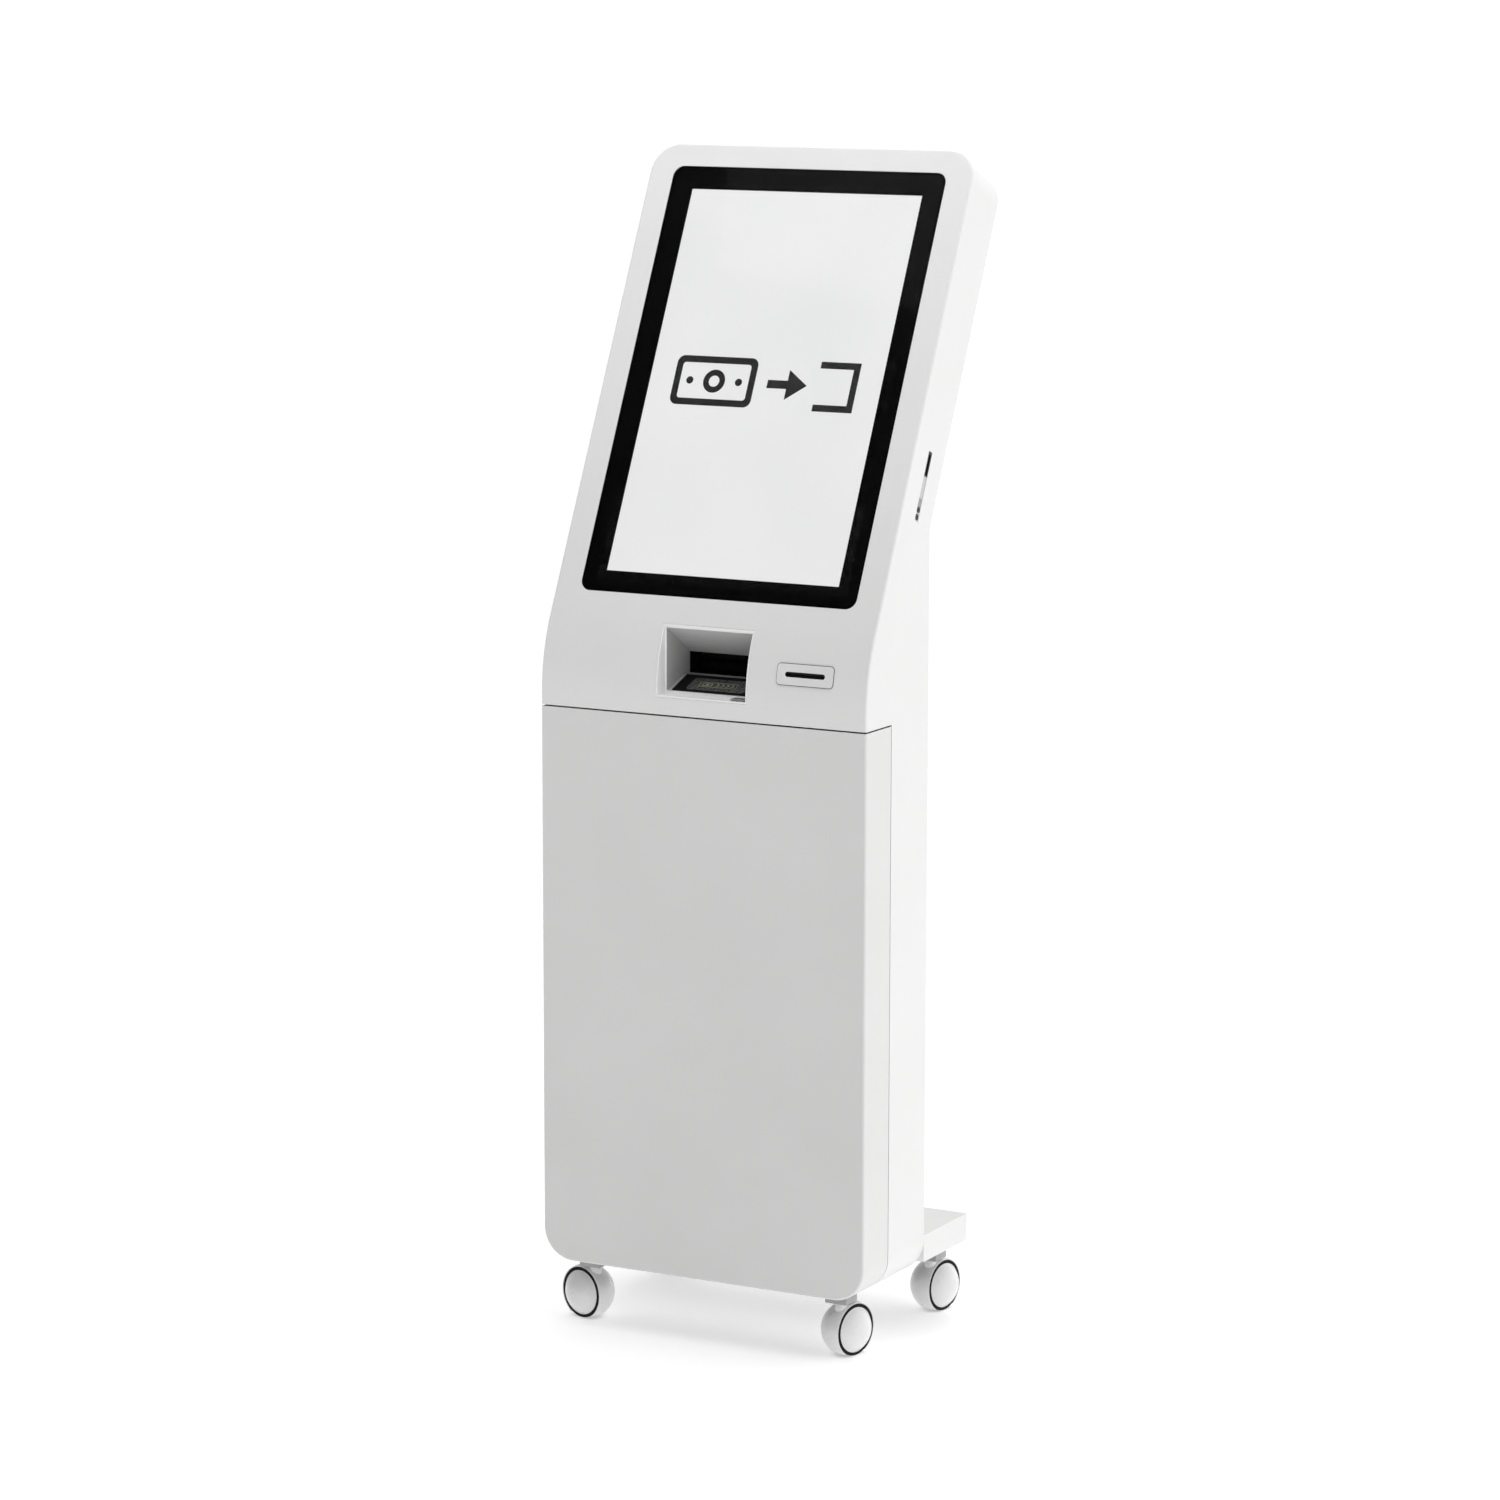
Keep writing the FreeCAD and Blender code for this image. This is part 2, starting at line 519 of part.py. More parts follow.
def cover_with_screws(label, screw_label, frame, face, half_wide, low, high, openings):
    """A flat cover on the rear rim, held by screws at its four corners."""
    plate = box((f"-{half_wide}", half_wide), (face, f"{face} + cover_thick"), (low, high))
    places = [(f"{side}*({half_wide} - screw_inset)", place)
              for side in (-1, 1) for place in (f"{low} + screw_inset", f"{high} - screw_inset")]
    holes = [rod("screw_radius", "y", f"{face} - 1", f"{face} + 2*cover_thick", place) for place in places]
    finish(cut(plate, *holes, *openings), label, frame)
    finish(group(*screws(places, f"({face} + cover_thick)")), screw_label, frame)


INLET_Z = "(base_top + inlet_rise)"
INLET_X = ("inlet_x - inlet_half", "inlet_x + inlet_half")
INLET_UP = (f"{INLET_Z} - inlet_high", f"{INLET_Z} + inlet_high")
inlet_room = box(INLET_X, ("depth - 1", "depth + 5"), INLET_UP)
cover_with_screws("rear_panel", "rear_panel_screws", "upright", "depth", "(width/2 - cover_inset)",
                  "(base_top + cover_inset)", f"({REAR_KINK_Z} - cover_inset - cover_thick)",
                  [*slots(70, f"{REAR_KINK_Z} - 190", 9, ("depth - 1", "depth + 5")), inlet_room])
FAN_V = "(slant_length - fan_below_top)"
cover_with_screws("head_rear_cover", "head_cover_screws", "head", "head_thick",
                  "(width/2 - cover_inset - wall)", f"({REAR_KINK_V} + cover_inset)",
                  "(slant_length - cover_inset - top_rear_soft - wall)",
                  slots(34, f"{FAN_V} - 32", 6, ("head_thick - 1", "head_thick + 5")))

fan_block = box(("-fan_half", "fan_half"), ("head_thick - fan_deep", "head_thick"),
                (f"{FAN_V} - fan_half", f"{FAN_V} + fan_half"))
fan_tunnel = rod("fan_bore", "y", "head_thick - fan_deep - 1", "head_thick + 1", (0, FAN_V))
SPOKE_DEPTH = ("head_thick - spoke_half", "head_thick")
fan_spokes = [box(("-fan_bore", "fan_bore"), SPOKE_DEPTH, (f"{FAN_V} - spoke_half", f"{FAN_V} + spoke_half")),
              box(("-spoke_half", "spoke_half"), SPOKE_DEPTH, (f"{FAN_V} - fan_bore", f"{FAN_V} + fan_bore"))]
fan_pin = rod("screw_radius", "y", "head_thick - fan_deep + 2", "head_thick", (0, FAN_V))
finish(fuse(cut(fan_block, fan_tunnel), *fan_spokes, fan_pin), "fan_frame", "head")
fan_hub = rod("fan_hub", "y", "head_thick - fan_deep + 3", "head_thick - spoke_half - 1", (0, FAN_V))
BLADES = 7
BLADE_PITCH = 35
blades = []
for k in range(BLADES):
    blade = group(box(("fan_hub - 1", "blade_tip"), (-1, 1), (-6, 6)))
    pitched = Rotation(Vector(0, 1, 0), 360 / BLADES * k) * Rotation(Vector(1, 0, 0), BLADE_PITCH)
    blade.Placement = Placement(Vector(), pitched)
    move(blade, 0, "head_thick - fan_deep + 10", FAN_V)
    blades.append(blade)
finish(cut(fuse(fan_hub, *blades),
           rod("screw_radius + running_gap", "y", "head_thick - 30", "head_thick + 1", (0, FAN_V))),
       "fan_rotor", "head")

# ---------------------------------------------------------------- cash pocket and note path

COLLAR_HALF = "(pocket_half + collar_wall)"
collar = common(outer, box((f"-{COLLAR_HALF}", COLLAR_HALF), ("-wall", "collar_depth"),
                           ("pocket_low - collar_wall", "pocket_high + collar_wall")))
collar_hollow = box(("-pocket_half", "pocket_half"), ("-2*wall", "collar_depth + 1"),
                    ("pocket_low", "pocket_high"))
duct = prism([("collar_depth", "pocket_low - collar_wall"), ("collar_depth", "pocket_high + collar_wall"),
              ("pocket_rear", "mouth_high + 3"), ("pocket_rear", "mouth_low - 3")],
             f"-{COLLAR_HALF}", COLLAR_HALF)
duct_hollow = prism([("collar_depth - 1", "pocket_low + 2.5"), ("collar_depth - 1", "pocket_high - 1.5"),
                     ("pocket_rear", "mouth_high"), ("pocket_rear + 1", "mouth_high"),
                     ("pocket_rear + 1", "mouth_low"), ("slope_end", "mouth_low")],
                    "1.5 - pocket_half", "pocket_half - 1.5")
finish(cut(fuse(cut(collar, collar_hollow), duct), duct_hollow), "pocket_liner")
SLOPE = "((mouth_low - pocket_low - 2.5)/(slope_end - collar_depth + 1))"


def on_slope(along, lift):
    """A corner above the pocket's sloping floor."""
    return (along, f"pocket_low + 2.5 + ({along} - collar_depth + 1)*{SLOPE} + {lift}")


finish(prism([on_slope("(collar_depth + 2)", "0"), on_slope("(slope_end - 1)", "0"),
              on_slope("(slope_end - 1)", "1.2"), on_slope("(collar_depth + 2)", "1.2")],
             "8 - pocket_half", "pocket_half - 8"), "pocket_floor_plate")
finish(box(("pocket_half - 24", "pocket_half - 6"), ("6", "collar_depth - 3"),
           ("pocket_low", "pocket_low + 2")), "note_sensor")

ROLLER_Y = "(pocket_rear + roller_back)"
NOTE_Z = "((mouth_low + mouth_high)/2)"
NOTE_SPAN = ("-note_half", "note_half")
validator_block = box(("-validator_half", "validator_half"), ("pocket_rear", "pocket_rear + validator_deep"),
                      ("shelf_height + shelf_thick", "mouth_high + 32"))
mouth = box(NOTE_SPAN, ("pocket_rear - 1", f"{ROLLER_Y} - 12"), ("mouth_low", "mouth_high"))
roller_room = box(NOTE_SPAN, (f"{ROLLER_Y} - 12", f"{ROLLER_Y} + 12"), (f"{NOTE_Z} - 20", f"{NOTE_Z} + 20"))
drop = box(NOTE_SPAN, (f"{ROLLER_Y} + 12", f"{ROLLER_Y} + 24"), ("shelf_height", f"{NOTE_Z} + 10"))
JOURNAL = "(note_half + 6)"
roller_bores = []
for name, side in {"lower": -1, "upper": 1}.items():
    centre = (ROLLER_Y, f"({NOTE_Z} + {side}*(roller_radius + note_gap/2))")
    roller_bores.append(rod("axle_radius + running_gap", "x",
                            f"-{JOURNAL} - part_gap", f"{JOURNAL} + part_gap", centre))
    finish(fuse(rod("roller_radius", "x", "4 - note_half", "note_half - 4", centre),
                rod("axle_radius", "x", f"-{JOURNAL}", JOURNAL, centre)), f"feed_roller_{name}")
finish(cut(validator_block, mouth, roller_room, drop, *roller_bores), "note_validator")
drop_slot = (f"{ROLLER_Y} + 10", f"{ROLLER_Y} + 26")
SHELF_SPAN = ((f"-{INNER_HALF}", INNER_HALF), ("door_depth + 4", "depth - 2*wall"))
shelf_slot = box(NOTE_SPAN, drop_slot, ("shelf_height - 1", "shelf_height + shelf_thick + 1"))
finish(cut(box(*SHELF_SPAN, ("shelf_height", "shelf_height + shelf_thick")), shelf_slot), "validator_shelf")
finish(box(*SHELF_SPAN, ("box_floor - shelf_thick", "box_floor")), "cash_box_shelf")
BOX_FRONT = "(door_depth + 6)"
BOX_REAR = "(depth - 2*wall - 2)"
BOX_TOP = "(shelf_height - 8)"
cash_outer = box(("-box_half", "box_half"), (BOX_FRONT, BOX_REAR), ("box_floor + part_gap", BOX_TOP))
cash_inner = box(("box_wall - box_half", "box_half - box_wall"),
                 (f"{BOX_FRONT} + box_wall", f"{BOX_REAR} - box_wall"),
                 ("box_floor + box_wall", f"{BOX_TOP} - box_wall"))
lid_slot = box(NOTE_SPAN, drop_slot, (f"{BOX_TOP} - 3", f"{BOX_TOP} + 1"))
finish(cut(cash_outer, cash_inner, lid_slot), "cash_box")
grip = box(("-grip_half", "grip_half"), (f"{BOX_FRONT} - grip_reach", BOX_FRONT),
           (f"{BOX_TOP} - 60", f"{BOX_TOP} - 50"))
grip_gap = box(("8 - grip_half", "grip_half - 8"), (f"{BOX_FRONT} - grip_reach + 6", f"{BOX_FRONT} + 1"),
               (f"{BOX_TOP} - 61", f"{BOX_TOP} - 49"))
finish(cut(grip, grip_gap), "cash_box_handle")

# ---------------------------------------------------------------- card slot

bezel = rounded_plate("card_bezel_wide/2", "-card_bezel_high/2", "card_bezel_high/2", "-bezel_proud", "0",
                      "4.5")
throat = box((f"-{THROAT_HALF}", THROAT_HALF), ("-bezel_proud/2", "wall + 4"),
             (f"-{THROAT_RISE}", THROAT_RISE))
slot = box(("-card_slot_wide/2", "card_slot_wide/2"), (-3, "wall + 5"),
           ("-card_slot_high/2", "card_slot_high/2"))
finish(cut(fuse(bezel, throat), slot), "card_bezel", "card")
card_path = box(("-card_slot_wide/2", "card_slot_wide/2"), (0, "wall + 50"), (-1.5, 1.5))
finish(cut(box((-40, 40), ("wall + 4", "wall + 58"), (-15, 15)), card_path), "card_reader", "card")

# ---------------------------------------------------------------- strip in the right side of the head

STRIP_IN = INNER_HALF


def across_strip(half):
    return (f"strip_back - {half}", f"strip_back + {half}")


strip = box((STRIP_IN, f"{HALF} - 0.5"), across_strip("(strip_wide/2 - part_gap)"),
            ("strip_low + part_gap", "strip_high - part_gap"))
strip_flange = box((f"{STRIP_IN} - 2", STRIP_IN), across_strip("(strip_wide/2 + 4)"),
                   ("strip_low - 5", "strip_high + 5"))
SOCKET_HALF = "(strip_wide/2 - 1.2)"
SOCKET_UP = ("socket_low", "strip_high - 2")
socket_hole = box((f"{STRIP_IN} - 5", f"{HALF} + 1"), across_strip(SOCKET_HALF), SOCKET_UP)
BUTTONS = {"lower": "button_low", "upper": "(button_low + button_pitch)"}
button_bores = [rod("button_radius + 2*running_gap", "x", f"{STRIP_IN} - 5", f"{HALF} + 1",
                    ("strip_back", place)) for place in BUTTONS.values()]
finish(cut(fuse(strip, strip_flange), socket_hole, *button_bores), "side_port_plate", "head")
port_body = box((f"{STRIP_IN} - 20", f"{HALF} - 1"), across_strip(SOCKET_HALF), SOCKET_UP)
port_slit = box((f"{STRIP_IN} - 12", f"{HALF} + 1"), across_strip("2.5"),
                ("socket_low + 2", "strip_high - 4"))
finish(cut(port_body, port_slit), "side_port_socket", "head")
for name, place in BUTTONS.items():
    centre = ("strip_back", place)
    finish(fuse(rod("button_radius", "x", f"{STRIP_IN} - 3.5", f"{HALF} - 0.1", centre),
                rod("button_radius + 1.5", "x", f"{STRIP_IN} - 3.5", f"{STRIP_IN} - 2 - part_gap", centre)),
           f"side_button_{name}", "head")

# ---------------------------------------------------------------- power

finish(box(("-supply_left", "-supply_right"), ("door_depth + 20", "depth - 5*wall"),
           (TONGUE_TOP, f"{TONGUE_TOP} + supply_high")), "power_supply")
INLET_FACE = "(depth + cover_thick)"
inlet_flange = box(("inlet_x - inlet_half - inlet_lip", "inlet_x + inlet_half + inlet_lip"),
                   (INLET_FACE, f"{INLET_FACE} + 2"),
                   (f"{INLET_Z} - inlet_high - inlet_lip", f"{INLET_Z} + inlet_high + inlet_lip"))
inlet_body = box(INLET_X, ("depth - inlet_deep", INLET_FACE), INLET_UP)
prongs = [rod("prong_radius", "y", "depth - socket_deep - 1", "depth", (x, z))
          for x, z in (("socket_x - 6", INLET_Z), ("socket_x + 6", INLET_Z), ("socket_x", f"{INLET_Z} + 4"))]
well_room = box(("socket_x - socket_half", "socket_x + socket_half"), ("depth - socket_deep", "depth + 5"),
                (f"{INLET_Z} - socket_high", f"{INLET_Z} + socket_high"))
inlet_well = cut(well_room, *prongs)
switch_well = box(("rocker_x - rocker_half - 1", "rocker_x + rocker_half + 1"), ("depth - 10", "depth + 5"),
                  (f"{INLET_Z} - 11", f"{INLET_Z} + 11"))
ROCKER_AXIS = ("(depth - 2)", INLET_Z)
finish(cut(fuse(inlet_flange, inlet_body), inlet_well, switch_well,
           rod("rocker_pin + running_gap", "x", "rocker_x - 11", "rocker_x + 11", ROCKER_AXIS)),
       "power_inlet")
rocker = common(rod("rocker_radius", "x", "rocker_x - rocker_half", "rocker_x + rocker_half", ROCKER_AXIS),
                box(("rocker_x - 9", "rocker_x + 9"), ("depth - 4.5", f"{INLET_FACE} + 2"),
                    (f"{INLET_Z} - 9.5", f"{INLET_Z} + 9.5")))
finish(fuse(rocker, rod("rocker_pin", "x", "rocker_x - 10", "rocker_x + 10", ROCKER_AXIS)), "power_switch")

# ---------------------------------------------------------------- check and export

doc.recompute()
for obj in doc.Objects:
    if any(flag in obj.State for flag in ("Invalid", "Error")):
        raise RuntimeError(f"{obj.Label} ({obj.TypeId}) failed: {obj.State}")
os.makedirs("parts", exist_ok=True)
for obj in parts:
    if obj.Shape.isNull() or not obj.Shape.isValid() or obj.Shape.Volume <= 0:
        raise RuntimeError(f"{obj.Label} has no valid solid")
    obj.Shape.exportStep(f"parts/{obj.Label}.step")
    print(obj.Label, len(obj.Shape.Solids), round(obj.Shape.Volume))
print(len(parts), "pieces")
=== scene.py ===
"""Looks of a free-standing cash machine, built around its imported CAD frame.

Lengths are in metres in the frame of the CAD part: X to the right of someone who faces the machine, Y from
its front to its back, Z up from the floor.
"""
import json
import math

import bmesh
import bpy
from mathutils import Matrix, Vector


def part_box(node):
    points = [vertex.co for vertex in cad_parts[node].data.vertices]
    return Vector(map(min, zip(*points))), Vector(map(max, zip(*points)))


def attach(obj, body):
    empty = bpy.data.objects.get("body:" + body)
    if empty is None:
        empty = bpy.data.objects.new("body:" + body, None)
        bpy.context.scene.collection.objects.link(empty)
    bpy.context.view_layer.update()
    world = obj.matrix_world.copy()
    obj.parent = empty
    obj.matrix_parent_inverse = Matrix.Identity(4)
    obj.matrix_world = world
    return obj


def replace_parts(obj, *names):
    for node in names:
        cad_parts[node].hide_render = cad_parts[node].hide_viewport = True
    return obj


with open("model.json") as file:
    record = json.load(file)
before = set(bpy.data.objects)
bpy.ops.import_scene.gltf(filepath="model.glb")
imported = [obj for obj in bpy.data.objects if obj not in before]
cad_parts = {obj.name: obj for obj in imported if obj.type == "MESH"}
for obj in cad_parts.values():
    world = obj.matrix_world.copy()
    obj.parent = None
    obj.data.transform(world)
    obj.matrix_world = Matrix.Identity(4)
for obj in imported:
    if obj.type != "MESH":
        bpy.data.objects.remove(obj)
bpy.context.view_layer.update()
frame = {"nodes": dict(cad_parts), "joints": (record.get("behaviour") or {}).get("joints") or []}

NODES = frame["nodes"]
JOINTS = {joint["name"]: joint for joint in frame["joints"]}
MM = 0.001

# ---------------------------------------------------------------- materials


def add(tree, kind, **inputs):
    """A node with its plain input values set; an underscore in a key stands for a space."""
    made = tree.nodes.new(kind)
    for key, value in inputs.items():
        made.inputs[key.replace("_", " ")].default_value = value
    return made


def noise(tree, scale, detail=2.0, stretch=(1, 1, 1)):
    """Noise over the object's own place, so it doesn't depend on UVs; scale is in features per metre."""
    place = tree.nodes.new("ShaderNodeTexCoord")
    spread = add(tree, "ShaderNodeMapping", Scale=stretch)
    cloud = add(tree, "ShaderNodeTexNoise", Scale=scale, Detail=detail)
    tree.links.new(place.outputs["Object"], spread.inputs["Vector"])
    tree.links.new(spread.outputs["Vector"], cloud.inputs["Vector"])
    return cloud.outputs["Fac"]


def span(tree, source, low, high, start=0.3, end=0.7):
    """The source's middle values stretched over low to high."""
    scaled = add(tree, "ShaderNodeMapRange", From_Min=start, From_Max=end, To_Min=low, To_Max=high)
    tree.links.new(source, scaled.inputs["Value"])
    return scaled.outputs["Result"]


def between(tree, source, first, second):
    """A colour between two, by a factor."""
    mixed = tree.nodes.new("ShaderNodeMix")
    mixed.data_type = "RGBA"
    mixed.inputs["A"].default_value = (*first, 1)
    mixed.inputs["B"].default_value = (*second, 1)
    tree.links.new(source, mixed.inputs["Factor"])
    return mixed.outputs["Result"]


def surface(name, first, second, rough, mottle=8, grain=900, relief=0.02, coarse=None, stretch=(1, 1, 1),
            **sockets):
    """A finish with slow colour drift, uneven gloss and a fine relief, in two grain sizes if coarse is given.

    The drift and both grains are in features per metre, and the relief is in millimetres.
    """
    made = bpy.data.materials.new(name)
    made.use_nodes = True
    tree = made.node_tree
    shader = tree.nodes["Principled BSDF"]
    for key, value in sockets.items():
        shader.inputs[key.replace("_", " ")].default_value = value
    drift = span(tree, noise(tree, mottle, 3.0, stretch), 0, 1)
    tree.links.new(between(tree, drift, first, second), shader.inputs["Base Color"])
    tree.links.new(span(tree, noise(tree, mottle * 5, 4.0, stretch), *rough), shader.inputs["Roughness"])
    bump = add(tree, "ShaderNodeBump", Strength=0.5, Distance=relief * MM)
    tree.links.new(noise(tree, grain, 1.5, stretch), bump.inputs["Height"])
    if coarse:
        wide = add(tree, "ShaderNodeBump", Strength=0.5, Distance=relief * 3 * MM)
        tree.links.new(noise(tree, coarse, 1.0, stretch), wide.inputs["Height"])
        tree.links.new(wide.outputs["Normal"], bump.inputs["Normal"])
    tree.links.new(bump.outputs["Normal"], shader.inputs["Normal"])
    return made


def grey(value, warmth=0.0):
    """A grey, with a little more red and less blue where it is warm."""
    return (value * (1 + warmth), value, value * (1 - warmth))


LIT_COLLAR = 22 * MM              # depth of the liner's collar behind the door's face


def lit_display():
    """The display's face: an even cool white with a faint mottle."""
    made = bpy.data.materials.new("display_face")
    made.use_nodes = True
    tree = made.node_tree
    shader = tree.nodes["Principled BSDF"]
    shader.inputs["Roughness"].default_value = 0.35
    shader.inputs["Emission Strength"].default_value = 0.80
    cells = span(tree, noise(tree, 5, 1.0), 0, 1)
    glow = between(tree, cells, (0.955, 0.96, 0.965), (1.0, 1.0, 1.0))
    tree.links.new(glow, shader.inputs["Emission Color"])
    shade = between(tree, cells, grey(0.02), grey(0.03))
    tree.links.new(shade, shader.inputs["Base Color"])
    return made


def lit_collar_shaded_liner(lit_collar_end):
    """The pocket's moulding: pale painted light on the collar behind the panel, grey painted shade down its
    sloping walls.
    """
    light_to_shade_blend = 1.5 * MM
    made = surface("liner_painted_light", grey(0.46, 0.005), grey(0.50, 0.004), (0.42, 0.52), 20, 1900, 0.02)
    tree = made.node_tree
    shader = tree.nodes["Principled BSDF"]
    plain = shader.inputs["Base Color"].links[0].from_socket
    place = tree.nodes.new("ShaderNodeTexCoord")
    split = tree.nodes.new("ShaderNodeSeparateXYZ")
    tree.links.new(place.outputs["Object"], split.inputs["Vector"])
    inside = span(tree, split.outputs["Y"], 0, 1, lit_collar_end, lit_collar_end + light_to_shade_blend)
    # Painted light: the collar is near white, and the grey beyond it is painted shade on the walls.
    pale = between(tree, noise(tree, 20), grey(0.93), grey(0.95))
    mixed = tree.nodes.new("ShaderNodeMix")
    mixed.data_type = "RGBA"
    tree.links.new(pale, mixed.inputs["A"])
    tree.links.new(plain, mixed.inputs["B"])
    tree.links.new(inside, mixed.inputs["Factor"])
    tree.links.new(mixed.outputs["Result"], shader.inputs["Base Color"])
    return made


FINISHES = {
    "shell_paint": surface("shell_paint", grey(0.80, 0.004), grey(0.83, 0.002), (0.36, 0.46), 5, 1400, 0.02,
                           coarse=320, Coat_Weight=0.12, Coat_Roughness=0.3),
    "door_paint": surface("door_paint", grey(0.725, 0.006), grey(0.755, 0.004), (0.38, 0.48), 5, 1400, 0.02,
                          coarse=320, Coat_Weight=0.10, Coat_Roughness=0.3),
    "dark_steel": surface("dark_steel", grey(0.045), grey(0.075), (0.42, 0.6), 14, 1600, 0.03,
                          coarse=420, Metallic=0.3),
    "zinc_steel": surface("zinc_steel", grey(0.55), grey(0.62), (0.28, 0.42), 70, 900, 0.01,
                          stretch=(1, 1, 4), Metallic=1.0),
    "screw_steel": surface("screw_steel", grey(0.52), grey(0.66), (0.22, 0.34), 60, 2500, 0.01, Metallic=1.0),
    "screen_glass": surface("screen_glass", grey(0.98), grey(1.0), (0.015, 0.03), 4, 300, 0.001,
                            Transmission_Weight=1.0, IOR=1.1),
    "screen_mask": surface("screen_mask", grey(0.002), grey(0.0035), (0.3, 0.4), 10, 2000, 0.004,
                           Specular_IOR_Level=0.05),
    "black_rubber": surface("black_rubber", grey(0.008), grey(0.014), (0.6, 0.75), 40, 2600, 0.03,
                            Specular_IOR_Level=0.25),
    "black_plastic": surface("black_plastic", grey(0.009), grey(0.015), (0.4, 0.55), 25, 2200, 0.025,
                             Specular_IOR_Level=0.3),
    "grey_plastic": surface("grey_plastic", grey(0.50), grey(0.56), (0.4, 0.5), 30, 2200, 0.02),
    "bezel_plastic": surface("bezel_plastic", grey(0.78), grey(0.82), (0.34, 0.42), 30, 2200, 0.015,
                             Coat_Weight=0.15, Coat_Roughness=0.2),
    "caster_grey": surface("caster_grey", grey(0.34), grey(0.40), (0.4, 0.52), 40, 1800, 0.02),
    "caster_white": surface("caster_white", grey(0.80), grey(0.84), (0.26, 0.34), 25, 2200, 0.012,
                            Coat_Weight=0.25, Coat_Roughness=0.15),
    "tyre_black": surface("tyre_black", grey(0.005), grey(0.009), (0.55, 0.7), 50, 2400, 0.02,
                          Specular_IOR_Level=0.15),
    "smoked": surface("smoked", grey(0.055), grey(0.085), (0.22, 0.36), 60, 1800, 0.01),
    # seam_grey also serves as painted shadow: the ring round the card bezel and the core of the ledge's
    # shadow patch.
    "seam_grey": surface("seam_grey", grey(0.12), grey(0.15), (0.5, 0.6), 60, 1800, 0.01),
    # seam_mid also serves as painted shadow on the pocket ledge, besides the side window's grey.
    "seam_mid": surface("seam_mid", grey(0.30), grey(0.36), (0.5, 0.6), 60, 1800, 0.01),
    # Near-black used as painted shade for the pieces deep in the cash pocket.
    "pocket_black": surface("pocket_black", grey(0.004), grey(0.007), (0.6, 0.8), 60, 2200, 0.02,
                            Specular_IOR_Level=0.1),
    "ink": surface("ink", grey(0.004), grey(0.007), (0.4, 0.5), 40, 1500, 0.004),
    "label_dark": surface("label_dark", (0.016, 0.02, 0.012), (0.03, 0.035, 0.022), (0.3, 0.42), 90, 2600,
                          0.01),
    "label_line": surface("label_line", (0.36, 0.37, 0.26), (0.44, 0.45, 0.33), (0.4, 0.5), 90, 2600, 0.01),
    "display_face": lit_display(),
    # The liner gets painted light on its collar and painted shade down its walls.
    "liner_plastic": lit_collar_shaded_liner(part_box("front_door")[0].y + LIT_COLLAR),
}

# These pieces are only seen deep in the cash pocket, or behind it; their near-black is painted shade.
PAINTED_SHADE_PIECES = ("pocket_floor_plate", "note_validator", "feed_roller_upper", "feed_roller_lower")
for name, node in NODES.items():
    for place in node.material_slots:
        place.material = FINISHES["pocket_black" if name in PAINTED_SHADE_PIECES else place.material.name.split(".")[0]]

# ---------------------------------------------------------------- mesh helpers


def put(name, mesh, slot, body, finish=None, smooth=40):
    """Show a mesh as a piece that rides on a body and takes its finish from a slot of the record."""
    mesh.materials.clear()
    mesh.materials.append(FINISHES[finish or slot])
    mesh.shade_smooth()
    obj = bpy.data.objects.new(name, mesh)
    bpy.context.scene.collection.objects.link(obj)
    mesh.set_sharp_from_angle(angle=math.radians(smooth))
    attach(obj, body)
    return obj


def finished(form, name, matrix):
    """The mesh of a form, placed by the matrix and with its faces turned outwards."""
    mesh = bpy.data.meshes.new(name)
    form.transform(matrix)
    bmesh.ops.recalc_face_normals(form, faces=form.faces)
    form.to_mesh(mesh)
    form.free()
    return mesh


def round_outline(left, low, right, high, radius, steps=6):
    """Corners of a rectangle with rounded corners, anticlockwise."""
    radius = min(radius, (right - left) / 2 - 1e-6, (high - low) / 2 - 1e-6)
    points = []
    for turn, (x, z) in enumerate(((right - radius, low + radius), (right - radius, high - radius),
                                   (left + radius, high - radius), (left + radius, low + radius))):
        for k in range(steps + 1):
            angle = math.pi / 2 * (turn - 1 + k / steps)
            points.append((x + radius * math.cos(angle), z + radius * math.sin(angle)))
    return points


def disc_outline(x, z, radius, count=40):
    """Corners of a circle, anticlockwise."""
    return [(x + radius * math.cos(math.tau * k / count), z + radius * math.sin(math.tau * k / count))
            for k in range(count)]


def plate(name, outlines, front, back, edge, matrix):
    """A flat plate with rounded edges, from y = front to back, its outlines and holes given in x and z."""
    curve = bpy.data.curves.new(name, "CURVE")
    curve.dimensions = "2D"
    curve.fill_mode = "BOTH"
    curve.extrude = (back - front) / 2 - edge
    curve.bevel_depth = edge
    curve.bevel_resolution = 2
    curve.offset = -edge
    for outline in outlines:
        line = curve.splines.new("POLY")
        line.points.add(len(outline) - 1)
        for point, (x, z) in zip(line.points, outline):
            point.co = (x, z, 0, 1)
        line.use_cyclic_u = True
    holder = bpy.data.objects.new(name, curve)
    bpy.context.scene.collection.objects.link(holder)
    mesh = bpy.data.meshes.new_from_object(holder.evaluated_get(bpy.context.evaluated_depsgraph_get()))
    bpy.data.objects.remove(holder)
    bpy.data.curves.remove(curve)
    mesh.name = name
    upright = Matrix(((1, 0, 0, 0), (0, 0, -1, (front + back) / 2), (0, 1, 0, 0), (0, 0, 0, 1)))
    mesh.transform(matrix @ upright)
    return mesh


